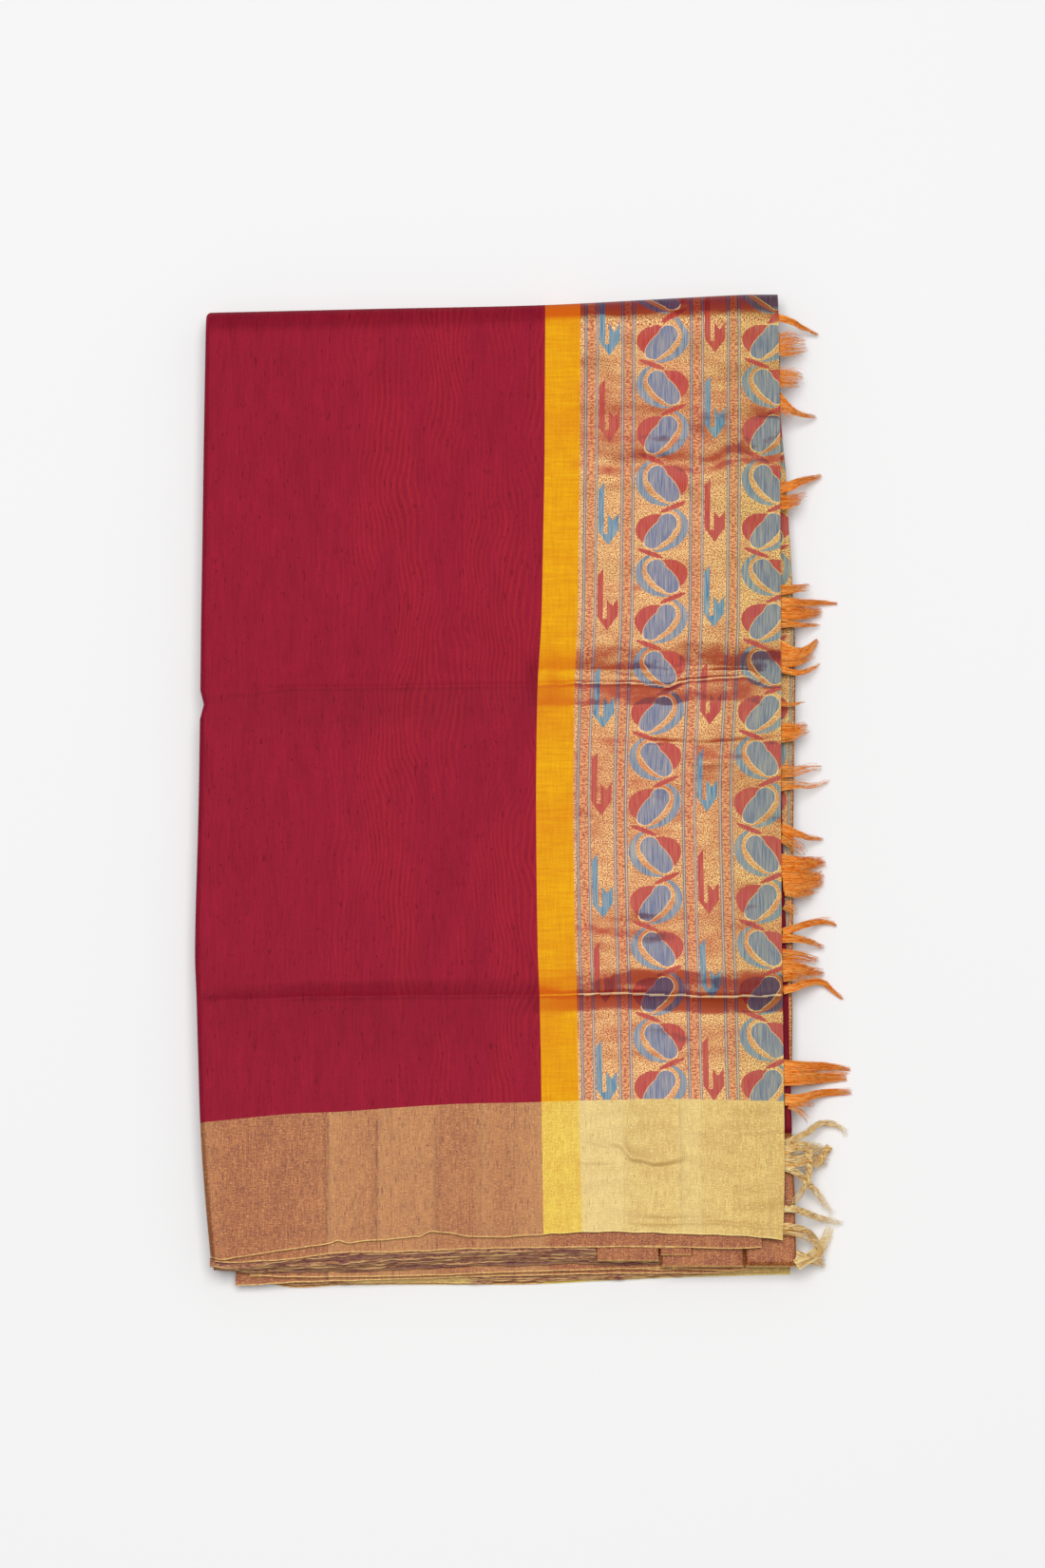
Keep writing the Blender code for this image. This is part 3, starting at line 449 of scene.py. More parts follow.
silk = add("Mix", add("MapRange", weft, 0.45, 1.05), "#870A26", "#A21432")
slub_mask = add("MapRange", grain["thick slub"], 0.67, 0.74, 0.0, 0.6)
fleck_mask = add("MapRange", grain["fleck"], 0.74, 0.78, 0.0, 0.6)
for share, colour in ((moire_share, "#BD2621"), (slub_mask, "#63000F"), (fleck_mask, "#5F0011")):
    silk = add("Mix", share, silk, colour)
lean = add("Attribute", attribute_name="lean", out="Fac")
tone = add("MapRange", grain["thread"], 0.25, 0.75, 0.86, 1.13)
# Painted shade: the silk darkens where the cloth leans, at the creases and over the far fold.
tone = add("MULTIPLY", tone, add("MapRange", lean, 0.012, 0.12, 1.0, 0.78))
# Over the right side, on the flap under the top leaf, the silk is painted deeper as shade.
tone = add("MULTIPLY", tone, add("MapRange", where["X"], 0.150, 0.152, 1.0, 0.62))
silk = add("Mix", 1.0, silk, tone, blend_type="MULTIPLY")
relief = add("ADD", grain["thread"], slub_mask)
bump = add("Bump", Height=relief, Strength=0.25, Distance=0.15 * MM)
fill(shader, {"Base Color": silk, "Normal": bump, "Roughness": 0.6, "Specular IOR Level": 0.1})

body_top = top_stretch("body_cloth", left_fold, stripe_left, 72, LEFT_COLUMNS)
dress(body_top, maroon_silk, "body_top")

# Yellow stripe between the body and the end piece, woven in the same warp. Plain silk, shot
# with orange in broad patches, and a deeper orange painted as shade where the cloth leans at
# the creases and over the fold.
yellow_silk, shader, add, place = new_cloth("amber silk")
grain = {}
for name, sizes, detail, roughness in (
        ("slub", (0.8, 16.0, 16.0), 3.0, 0.6), ("thread", (0.7, 0.7, 1.0), 2.0, 0.5),
        ("warp", (14.0, 1.2, 9.0), 2.0, 0.5), ("broad", (60.0, 40.0, 90.0), 2.0, 0.5)):
    at = add("Mapping", place, Scale=[1 / (mm * MM) for mm in sizes])
    grain[name] = add("TexNoise", at, Scale=1.0, Detail=detail, Roughness=roughness)
weft = add("MapRange", add("ADD", grain["slub"], grain["warp"]), 0.70, 1.30)
silk = add("Mix", weft, "#E19200", "#F1B000")
lean = add("Attribute", attribute_name="lean", out="Fac")
# Random orange patches, then painted shade where the cloth leans.
for share, colour in ((add("MapRange", grain["broad"], 0.48, 0.72, 0.0, 0.5), "#DC7E04"),
                      (add("MapRange", lean, 0.02, 0.17), "#D2600C")):
    silk = add("Mix", share, silk, colour)
tone = add("MapRange", grain["thread"], 0.25, 0.75, 0.92, 1.07)
silk = add("Mix", 1.0, silk, tone, blend_type="MULTIPLY")
bump = add("Bump", Height=grain["thread"], Strength=0.2, Distance=0.12 * MM)
fill(shader, {"Base Color": silk, "Normal": bump, "Roughness": 0.55,
              "Specular IOR Level": 0.08})

stripe_top = top_stretch("stripe_cloth", stripe_left, stripe_right, 12)
dress(stripe_top, yellow_silk, "stripe_top")

# Brocade end piece of the top leaf: gold metal thread ground with silk figuring, woven in
# columns of hooked arrows and of roundels between narrow guard lines.
# The chart is in millimetres across from the stripe and along from the border line.
COLUMN_START = 2.5
COLUMN_PITCH = 64.0
ROUNDEL_CENTRE = (47.6, 7.0)
ROUNDEL_PITCH = 28.3
ARROW_TIP_X = 15.4
ARROW_PITCH = 113.4
SECOND_ARROW = 60.3
OFF_CHART = 90.0
GUARD_CHART = (
    (0.0, "edge"), (0.55, "line"), (1.25, "edge"), (1.8, "ground"), (2.2, "band"),
    (6.3, "ground"), (6.8, "edge"), (7.4, "line"), (8.1, "edge"), (8.7, "ground"),
    (22.4, "edge"), (23.0, "line"), (23.7, "edge"), (24.3, "ground"), (24.6, "band"),
    (28.6, "ground"), (29.0, "edge"), (29.6, "line"), (30.3, "edge"), (30.9, "ground"),
    (64.0, "ground"),
)
GUARD_KEYS = {"ground": "#000000", "edge": "#FF0000", "band": "#00FF00", "line": "#0000FF"}


def set_ramp(ramp, stops, start=0.0, end=1.0):
    """Give a colour ramp its stops: places between start and end, in order, each with its
    colour or its grey."""
    elements = ramp.node.color_ramp.elements
    for index, (at, colour) in enumerate(stops):
        share = (at - start) / (end - start)
        stop = elements[index] if index < 2 else elements.new(share)
        stop.position = share
        stop.color = srgb(colour) if isinstance(colour, str) else (*[colour] * 3, 1.0)


zari_brocade, shader, add, place = new_cloth("gold zari and silk brocade")
weave = add("UVMap", uv_map="weave")
jitter = add("TexNoise", add("Mapping", weave, Scale=(1000.0, 1000.0, 1.0)), Scale=1.2,
             Detail=2.0, out="Color")
wobble = add("VectorMath", jitter, (0.5, 0.5, 0.5), operation="SUBTRACT")
wobble = add("VectorMath", wobble, (0.5, 1.3, 0.0), operation="MULTIPLY")
in_mm = add("Mapping", weave, Scale=(1000.0, 1000.0, 0.0))
chart = add("SeparateXYZ", add("VectorMath", in_mm, wobble, operation="ADD")).node.outputs
across = add("SUBTRACT", chart["X"], COLUMN_START)
along = chart["Y"]
in_column = add("WRAP", across, COLUMN_PITCH, 0.0)
column = add("FLOOR", add("DIVIDE", across, COLUMN_PITCH))

# Guard lines and dotted bands, as a ramp across one repeat of the columns.
guards = add("ValToRGB", add("DIVIDE", in_column, COLUMN_PITCH))
guards.node.color_ramp.interpolation = "CONSTANT"
set_ramp(guards, [(start, GUARD_KEYS[key]) for start, key in GUARD_CHART], 0.0, COLUMN_PITCH)
guard = add("SeparateColor", guards).node.outputs

# Roundels: every second one is mirrored. A bean with a broad head lies along the slant, a
# leaf lies behind its back and a crescent round its front, with a gold channel between. A
# short stem crosses to the next roundel.
from_cell = add("SUBTRACT", along, ROUNDEL_CENTRE[1] - ROUNDEL_PITCH / 2)
pair_y = add("WRAP", from_cell, 2 * ROUNDEL_PITCH, 0.0)
upper = add("GREATER_THAN", pair_y, ROUNDEL_PITCH)
cell_y = add("SUBTRACT", add("WRAP", pair_y, ROUNDEL_PITCH, 0.0), ROUNDEL_PITCH / 2)
# Left of the first column there are no roundels.
cell_x = add("SUBTRACT", in_column, ROUNDEL_CENTRE[0])
cell_x = add("MULTIPLY_ADD", add("LESS_THAN", across, 0.0), OFF_CHART, cell_x)
cell_x = add("MULTIPLY", cell_x, add("MULTIPLY_ADD", upper, -2.0, 1.0))
cell = add("CombineXYZ", cell_x, cell_y)
# Each oval: centre, turn in degrees, and half sizes along and across, in millimetres.
OVALS = {
    "leaf": ((-2.3, 0.8), 76.5, (10.2, 13.6)),
    "bean": ((-1.0, -0.1), 45.0, (12.0, 5.9)),
    "head": ((3.3, 5.5), 0.0, (5.8, 5.8)),
    "heel": ((-5.5, -5.1), 0.0, (5.0, 5.0)),
    "crescent_outer": ((0.6, 1.5), 25.0, (15.8, 13.2)),
    "crescent_inner": ((-5.1, 1.7), 23.0, (17.5, 12.8)),
    "stem": ((6.8, 15.3), 22.0, (8.3, 1.4)),
    "next_stem": ((-6.8, -13.0), -22.0, (8.3, 1.4)),
}
oval = {}
for name, (centre, turn, half) in OVALS.items():
    inside = add("Mapping", cell, (*centre, 0.0), (0.0, 0.0, math.radians(turn)), (*half, 1.0),
                 vector_type="TEXTURE")
    oval[name] = add("VectorMath", inside, operation="LENGTH")
bean_near = add("MINIMUM", add("MINIMUM", oval["bean"], oval["head"]), oval["heel"])
bean_mask = add("LESS_THAN", bean_near, 1.0)
bean_rim = add("LESS_THAN", bean_near, 1.07)
leaf_side = add("VectorMath", cell, (-0.707, 0.707, 0.0), operation="DOT_PRODUCT")
leaf_side = add("GREATER_THAN", leaf_side, 0.6)
leaf_mask = add("MULTIPLY", add("LESS_THAN", oval["leaf"], 1.0), leaf_side)
front_side = add("VectorMath", cell, (0.906, -0.423, 0.0), operation="DOT_PRODUCT")
front_side = add("GREATER_THAN", front_side, 0.5)
front = add("MULTIPLY", add("LESS_THAN", oval["crescent_outer"], 1.0), front_side)
channel_mask = add("MULTIPLY", front, add("LESS_THAN", oval["crescent_inner"], 1.0))
crescent_mask = add("SUBTRACT", front, channel_mask)
stem_mask = add("LESS_THAN", add("MINIMUM", oval["stem"], oval["next_stem"]), 1.0)

# Hooked arrows: a tall stem and a forked barb that meet in a point, two to a repeat.
arrow_y = add("WRAP", along, ARROW_PITCH, 0.0)
second = add("GREATER_THAN", arrow_y, 50.0)
arrow_y = add("MULTIPLY_ADD", second, -SECOND_ARROW, arrow_y)
arrow_x = add("SUBTRACT", in_column, ARROW_TIP_X)
width = add("ABSOLUTE", arrow_x)
stem_part = add("LESS_THAN", arrow_y, add("MULTIPLY_ADD", arrow_x, 1.26, 42.0))
stem_part = add("MULTIPLY", stem_part, add("LESS_THAN", arrow_x, -2.8))
fork = add("ABSOLUTE", add("SUBTRACT", arrow_x, 2.85))
barb_part = add("LESS_THAN", arrow_y, add("MULTIPLY_ADD", fork, 1.34, 14.7))
barb_part = add("MULTIPLY", barb_part, add("GREATER_THAN", arrow_x, -0.4))
arrow_mask = add("MAXIMUM", stem_part, barb_part)
arrow_mask = add("MAXIMUM", arrow_mask, add("LESS_THAN", arrow_y, 7.2))
arrow_mask = add("MULTIPLY", arrow_mask, add("LESS_THAN", width, 6.2))
over_point = add("GREATER_THAN", arrow_y, add("MULTIPLY", width, 1.445))
arrow_mask = add("MULTIPLY", arrow_mask, over_point)
arrow_red = add("ABSOLUTE", add("SUBTRACT", second, column))

# Gold ground, with painted light and shade: metal-thread gold where the painted shine is high
# and deep copper-orange where it is low. The painted shine swings in broad bands along the
# cloth, listed below, with random patches, and drops where the cloth leans.
GROUND_BANDS = (
    (-196.0, 0.80), (-176.0, 0.95), (-164.0, 0.80), (-150.0, 0.55), (-141.0, 0.90),
    (-121.0, 0.70), (-110.0, 0.86), (-98.0, 0.50), (-84.0, 0.50), (-70.0, 0.66),
    (-50.0, 0.82), (-24.0, 0.62), (-4.0, 0.52), (16.0, 0.56), (26.0, 0.70), (40.0, 0.86),
    (66.0, 0.78), (78.0, 0.60), (90.0, 0.82), (100.0, 0.90), (124.0, 0.95), (165.0, 1.0),
    (186.0, 0.95), (196.0, 0.90), (203.0, 0.40), (232.0, 0.42), (250.0, 0.66), (262.0, 0.84),
    (284.0, 1.0), (291.0, 1.0), (300.0, 0.95),
)
grain = {}
for name, source, sizes, detail, roughness in (
        ("drift", place, (34.0, 26.0), 3.0, 0.5), ("patchy", place, (13.0, 7.0), 2.0, 0.5),
        ("speckle", weave, (0.8, 0.75), 1.0, 0.7), ("ladder", weave, (2.0, 1.0), 2.0, 0.5),
        ("silk line", weave, (0.75, 16.0), 2.0, 0.6)):
    at = add("Mapping", source, Scale=(1 / (sizes[0] * MM), 1 / (sizes[1] * MM), 1.0))
    grain[name] = add("TexNoise", at, Scale=1.0, Detail=detail, Roughness=roughness)
where = add("SeparateXYZ", place).node.outputs
drift_share = add("MapRange", where["Y"], 0.255, 0.285, 0.030, 0.0)
band_y = add("MULTIPLY_ADD", add("ADD", grain["drift"], -0.5), drift_share, where["Y"])
first, last = GROUND_BANDS[0][0], GROUND_BANDS[-1][0]
bands = add("ValToRGB", add("MapRange", band_y, first * MM, last * MM))
set_ramp(bands, GROUND_BANDS, first, last)
patchy = add("MapRange", grain["patchy"], 0.3, 0.7, -0.34, 0.26)
lean = add("Attribute", attribute_name="lean", out="Fac")
# Painted shade: the shine drops where the cloth leans.
painted_tilt_shade = add("MapRange", lean, 0.030, 0.165, 0.06, -1.1)
painted_shine = add("ADD", add("ADD", bands, patchy), painted_tilt_shade, use_clamp=True)
# Over the far roll the low tone is painted crimson, as shade.
rolled = add("MapRange", where["Y"], 0.292, 0.302)
figured = add("Mix", painted_shine, add("Mix", rolled, "#A6380E", "#90203A"), "#D2A05E")
speck = add("MapRange", grain["speckle"], 0.50, 0.58, 0.0, 0.95)
# Painted glints on the pale specks, strongest where the painted shine is high.
glint = add("MULTIPLY", add("MapRange", grain["speckle"], 0.46, 0.36), painted_shine)
for share, colour in ((speck, "#8A3C12"), (add("MULTIPLY", glint, 0.7), "#E2CA98")):
    figured = add("Mix", share, figured, colour)

# Bands between the guard lines: orange-pink with small ladder marks. The guard lines: two
# dark blue-grey threads with pale pink between them. Where the painted shine is low, the bands
# are painted red and the lines violet, as shade.
ladder = add("MapRange", grain["ladder"], 0.46, 0.56)
level = add("MapRange", painted_shine, 0.0, 0.35)
band_level = add("MapRange", painted_shine, 0.0, 0.35, 0.25)
band_tone = add("Mix", band_level, "#98240E", add("Mix", ladder, "#CA8A56", "#962C0E"))
edge_tone = add("Mix", level, "#44304C", add("Mix", ladder, "#6E6662", "#3E485E"))
line_tone = add("Mix", level, "#7C444E", "#AC9082")
for mask, weight, colour in ((guard["Green"], 0.8, band_tone), (guard["Red"], 0.85, edge_tone),
                             (guard["Blue"], 0.8, line_tone)):
    figured = add("Mix", add("MULTIPLY", mask, weight), figured, colour)

# Figuring silks, a red and three blues. Fine lines of the gold warp run through them along
# the cloth, and a pale rim shows where a shape ends. Each silk: where its gold warp is hidden,
# and where it shows through.
silk_lines = add("MapRange", grain["silk line"], 0.36, 0.68)
silks = {}
for name, covered, shot in (("red", "#B00A14", "#C05230"), ("blue", "#58638A", "#A29A98"),
                            ("dusty", "#54708E", "#AAA29C"), ("sky", "#24709A", "#9AA49E")):
    silks[name] = add("Mix", silk_lines, covered, shot)
for mask, colour in ((add("MULTIPLY", channel_mask, 0.3), "#C4824A"),
                     (crescent_mask, silks["dusty"]), (stem_mask, silks["red"]),
                     (leaf_mask, silks["red"]), (bean_rim, "#DAAE7A"),
                     (bean_mask, silks["blue"]),
                     (arrow_mask, add("Mix", arrow_red, silks["sky"], silks["red"]))):
    figured = add("Mix", mask, figured, colour)
silk_mask = arrow_mask
for mask in (bean_mask, crescent_mask, leaf_mask, stem_mask):
    silk_mask = add("MAXIMUM", silk_mask, mask)
# The silks are painted deeper too where the painted shine is low, as shade, and pale a little
# towards the right side, where the ground is a greener gold. Along the sharpest crests of the
# two long folds a highlight is painted.
painted_shade_tint = add("Mix", level, "#B47C96", "#FFFFFF")
figured = add("Mix", silk_mask, figured, painted_shade_tint, blend_type="MULTIPLY")
greener = add("Mix", add("MapRange", where["X"], 0.118, 0.158), "#FFFFFF", "#F0FCE0")
figured = add("Mix", 1.0, figured, greener, blend_type="MULTIPLY")
wear_and_highlight = 0.0
for fold_y, reach in ((0.065, 0.012), (-0.128, 0.005)):
    away = add("ABSOLUTE", add("ADD", where["Y"], -fold_y))
    wear_and_highlight = add("MAXIMUM", add("LESS_THAN", away, reach), wear_and_highlight)
crest = add("Attribute", attribute_name="crest", out="Fac")
crest = add("MULTIPLY", add("MapRange", crest, 0.45, 1.0, 0.0, 0.50), wear_and_highlight)
figured = add("Mix", crest, figured, "#ECCE98")
relief = add("MULTIPLY_ADD", silk_mask, 0.5, grain["speckle"])
bump = add("Bump", Height=relief, Strength=0.3, Distance=0.15 * MM)
fill(shader, {"Base Color": figured, "Normal": bump, "Roughness": 0.42,
              "Metallic": add("MapRange", silk_mask, 0.0, 1.0, 0.2, 0.0),
              "Specular IOR Level": 0.3})

pallu_top = top_stretch("end_piece_cloth", stripe_right, right_side, 76)
dress(pallu_top, zari_brocade, "pallu_top")

# Border of the top leaf beside the body: copper zari over a maroon warp, with a selvedge of
# brighter thread at its near edge, partly a painted highlight. Old fold lines cross it.
NEAR_NICKS = ((-91.0, 3.0, 1.3), (-84.0, 3.5, -0.6), (-43.0, 2.6, -1.1), (-36.0, 4.0, 0.9),
              (6.0, 5.0, -0.5), (34.0, 4.0, 0.5), (118.0, 8.0, -0.4))
EDGE_WAVE = 0.45
PANELS_REACH = 178.0


def near_edge(name, x):
    """Near edge of a leaf, with the small waves and nicks that no two leaves share."""
    seed = 7.0 * list(ALONG_X).index(name)
    wave = EDGE_WAVE * noise.noise(Vector((x / MM / 11.0, seed, 0.0)))
    if name == "top":
        for nick_x, half_width, depth in NEAR_NICKS:
            wave += depth * math.exp(-((x / MM - nick_x) / half_width) ** 2)
    return on_line(ALONG_X, name, x) + wave * MM


def border_stretch(name, left_at, right_at, columns, rows=44, left_columns=0):
    """The border of one stretch of the top leaf, from its near edge to the border line."""

    def place(column, row):
        x, y, start, drop = settle(column - left_columns, columns, (row / rows) ** 1.15,
                                   partial(near_edge, "top"), border_line, left_at, right_at)
        return top_point(x, y, 0.0, drop), (x, y - start)

    return woven_sheet(name, columns + left_columns, rows, place)


def zari_material(name, deep, plain, bright, slub_colour, selvedge, panels, lines, metallic):
    """Border cloth of metal thread: fine threads both ways, worn places, slubs, panels of
    painted light, painted glints, painted shade where the cloth leans, and a bright selvedge
    that is partly a painted highlight along the edge. panels are places along X in millimetres
    with the share of painted light that each one takes."""
    material, shader, add, place = new_cloth(name)
    grain = {}
    for key, sizes, start, detail in (
            ("warp", (5.0, 0.75), 0.0, 2.0), ("weft", (0.85, 8.0), 0.0, 2.0),
            ("grain", (0.95, 0.95), 0.0, 1.0), ("streak", (2.6, 55.0), 1.0, 3.0),
            ("worn", (15.0, 17.0), 6.0, 4.0), ("glint", (1.7, 0.7), 3.0, 1.0),
            ("slub", (0.9, 8.0), 2.0, 1.0), ("knot", (1.6, 2.0), 8.0, 0.0),
            ("wear_and_highlight", (2.5, 9.0), 4.0, 2.0)):
        at = add("Mapping", place, Location=(start, start, 0.0),
                 Scale=(1 / (sizes[0] * MM), 1 / (sizes[1] * MM), 1.0))
        grain[key] = add("TexNoise", at, Scale=1.0, Detail=detail, Roughness=0.65)
    threads = add("MULTIPLY_ADD", grain["grain"], 0.9, add("ADD", grain["warp"], grain["weft"]))
    swing = add("MapRange", add("ADD", grain["streak"], grain["worn"]), 0.6, 1.4, -0.42, 0.42)
    threads = add("ADD", add("MapRange", threads, 1.26, 1.64), swing)
    # Painted shade where the cloth leans.
    lean = add("Attribute", attribute_name="lean", out="Fac")
    painted_tilt_shade = add("MapRange", lean, 0.015, 0.13, 0.05, -0.9)
    threads = add("ADD", threads, painted_tilt_shade, use_clamp=True)
    where = add("SeparateXYZ", place).node.outputs
    # Panels of painted light between the fold lines.
    lights = add("ValToRGB", add("MapRange", where["X"], -PANELS_REACH * MM, PANELS_REACH * MM))
    set_ramp(lights, panels, -PANELS_REACH, PANELS_REACH)
    # Painted glints.
    glint = add("MapRange", grain["glint"], 0.58, 0.70, 0.0, 0.65)
    slub_mask = add("MapRange", grain["slub"], 0.63, 0.70, 0.0, 0.6)
    slub_mask = add("MAXIMUM", slub_mask, add("MapRange", grain["knot"], 0.80, 0.84, 0.0, 0.9))
    line_mask = 0.0
    for x_mm, dark in lines:
        away = add("ABSOLUTE", add("ADD", where["X"], -x_mm * MM))
        away = add("MapRange", away, 0.3 * MM, 1.0 * MM, dark, 0.0)
        line_mask = add("MAXIMUM", away, line_mask)
    wear_and_highlight = add("MapRange", grain["wear_and_highlight"], 0.35, 0.60)
    line_mask = add("MULTIPLY", wear_and_highlight, line_mask)
    # Selvedge: a paler thread, partly a painted highlight along the edge.
    from_edge = add("SeparateXYZ", add("UVMap", uv_map="weave"), out="Y")
    edge_mask = add("MULTIPLY", add("MapRange", from_edge, 0.9 * MM, 0.4 * MM),
                    add("MapRange", wear_and_highlight, 0.0, 1.0, 0.95, 0.45))
    cloth = add("Mix", threads, deep, plain)
    for share, colour in ((lights, bright), (glint, bright), (slub_mask, slub_colour),
                          (line_mask, slub_colour), (edge_mask, selvedge)):
        cloth = add("Mix", share, cloth, colour)
    bump = add("Bump", Height=threads, Strength=0.4, Distance=0.12 * MM)
    fill(shader, {"Base Color": cloth, "Normal": bump, "Roughness": 0.45,
                  "Metallic": metallic, "Specular IOR Level": 0.35})
    return material


# Copper zari: flattened copper-coloured thread, a dull metal gleam over dark maroon.
# Painted light of the panels between the folds: place along X in millimetres, share.
COPPER_PANELS = ((-178.0, 0.34), (-172.0, 0.26), (-164.0, 0.10), (-152.0, 0.02), (-120.0, 0.05),
                 (-98.0, 0.10), (-96.5, 0.38), (-90.0, 0.28), (-70.0, 0.18), (-67.0, 0.34),
                 (-36.0, 0.28), (-31.0, 0.15), (-12.0, 0.13), (-7.0, 0.32), (4.0, 0.18),
                 (12.0, 0.26), (28.0, 0.34), (34.0, 0.0))
COPPER_LINES = ((-122.0, 0.15), (-97.5, 0.5), (-68.6, 0.6), (-60.0, 0.2), (-33.2, 0.25),
                (-7.4, 0.2), (12.0, 0.25))
copper_zari = zari_material("copper zari", "#7A3412", "#A86430", "#CC9A5C", "#5A1018", "#DDB468",
                            COPPER_PANELS, COPPER_LINES, 0.15)

border_body_top = border_stretch("body_border_cloth", left_fold, stripe_left, 170,
                                 left_columns=LEFT_COLUMNS)
dress(border_body_top, copper_zari, "border_body_top")

# Border at the stripe: the gold weft of the border over the amber warp.
# Painted light of the panels: place along X in millimetres, share.
YELLOW_PANELS = ((-178.0, 0.0), (40.0, 0.10), (56.0, 0.25))
yellow_border = zari_material("yellow zari border", "#C99316", "#DDBC33", "#E7D264", "#C88F21",
                              "#E7CF60", YELLOW_PANELS, (), 0.1)
border_stripe_top = border_stretch("stripe_border_cloth", stripe_left, stripe_right, 20)
dress(border_stripe_top, yellow_border, "border_stripe_top")

# Border at the end piece: pale gold zari, the brightest cloth of the sari.
# Painted light of the panels between the folds: place along X in millimetres, share.
GOLD_PANELS = ((-178.0, 0.4), (50.0, 0.42), (76.0, 0.40), (80.0, 0.22), (106.0, 0.16),
               (110.0, 0.34), (121.0, 0.30), (124.0, 0.18), (156.0, 0.06), (161.0, 0.14),
               (172.0, 0.04))
GOLD_LINES = ((76.5, 0.15), (109.6, 0.55), (122.4, 0.2), (161.0, 0.25))
gold_zari = zari_material("pale gold zari", "#B48A3C", "#CEAF5C", "#E4D090", "#A48642",
                          "#E4CC80", GOLD_PANELS, GOLD_LINES, 0.15)
border_pallu_top = border_stretch("end_piece_border_cloth", stripe_right, right_side, 96,
                                  rows=92)
dress(border_pallu_top, gold_zari, "border_pallu_top")

# Underside leaf: the other half of the outer cloth, flat on the surface. The same stretches
# and the same border lie in it, and it is pressed flat by the weight of the packet.
UNDER_BORDER_WIDTH = 78.5 * MM
UNDER_RIGHT_X = 174.5 * MM
under_near_line = partial(on_line, ALONG_X, "bottom")


def under_left(y):
    """Left side of the underside leaf, further in at the near edge."""
    inset = between(14.5, 4.5, ease((y / MM + 290.0) / 130.0)) * MM
    return on_line(ALONG_Y, "left", y) + inset


def under_right(y):
    return UNDER_RIGHT_X


def under_border_line(x):
    return under_near_line(x) + UNDER_BORDER_WIDTH


def under_stretch(name, left_at, right_at, columns, rows, near_at, far_at):
    """A stretch of the underside leaf. Its outer face is the flat one below."""

    def place(column, row):
        x, y, _, _ = settle(column, columns, row / rows, near_at, far_at, left_at, right_at)
        lift = CLOTH_THICKNESS + 0.05 * MM * (1 + noise.noise(Vector((x, y, 0.0)) * 40.0))
        return Vector((x, y, lift)), (x - stripe_right(y), y - near_at(x))

    return woven_sheet(name, columns, rows, place)


for stretch, left_at, right_at, columns, cloth, border, slot, border_slot, width in (
        ("body", under_left, stripe_left, 40, maroon_silk, copper_zari, "maroon_silk",
         "copper_zari", 0.198),
        ("stripe", stripe_left, stripe_right, 6, yellow_silk, yellow_border, "yellow_silk",
         "yellow_silk", 0.022),
        ("pallu", stripe_right, under_right, 30, zari_brocade, gold_zari, "brocade",
         "gold_zari", 0.125)):
    leaf = under_stretch(stretch + "_under_cloth", left_at, right_at, columns, 60,
                         under_border_line, roll_start)
    dress(leaf, cloth, stretch + "_under")
    hem = under_stretch(stretch + "_under_border_cloth", left_at, right_at, columns, 14,
                        under_near_line, under_border_line)
    dress(hem, border, "border_" + stretch + "_under")

# Second leaf: its copper border shows as a narrow ledge under the top leaf's near edge.
LEAF_EDGE_ROWS = (0.0, 0.012, 0.03, 0.06, 0.12, 0.3, 0.6, 1.0)


def near_leaf(name, left, right, high, near, back, plies, step, columns):
    """Border leaves at the near edge: plies of cloth on each other, a little out of line."""
    ply = 0.5 * MM
    sheets = []
    for index in range(plies):

        def place(column, row, index=index):
            x = between(left, right, column / columns)
            start = near_edge(near, x + index * 0.037) + index * 0.55 * MM
            y = between(start, back, LEAF_EDGE_ROWS[row])
            sag = 0.25 * MM * (1.0 - ease((y - start) / (8.0 * MM)))
            ripple = 0.12 * MM * noise.noise(Vector((x / MM / 9.0, index, high / MM)))
            return Vector((x, y, high - index * step - sag + ripple)), (x, y - start)

        sheets.append(woven_sheet(name, columns, len(LEAF_EDGE_ROWS) - 1, place, ply))
    for extra in sheets[1:]:
        bm = bmesh.new()
        bm.from_mesh(sheets[0].data)
        bm.from_mesh(extra.data)
        bm.to_mesh(sheets[0].data)
        bm.free()
        bpy.data.objects.remove(extra)
    return sheets[0]


for name, left, right, high, near, back, plies, step, columns in (
        ("second_leaf_border", -163.0, 157.0, 20.10, "second", -200.3, 2, 0.75, 260),
        ("seventh_leaf_border", -143.0, 150.0, 10.35, "seventh", -245.4, 3, 0.85, 240),
        ("eighth_leaf_border", -151.5, 146.0, 7.45, "eighth", -245.4, 3, 0.85, 240)):
    leaf = near_leaf(name + "_plies", left * MM, right * MM, high * MM, near, back * MM, plies,
                     step * MM, columns)
    dress(leaf, copper_zari, name)

# Folded ends at the near right, and the narrow maroon flap and second brocade leaf that show
# along the right side. Each is a doubled leaf with a soft round fold on its outer side.
ACROSS_SLANT = 0.029
SIDE_LEAVES_ACROSS = 109.2 * MM


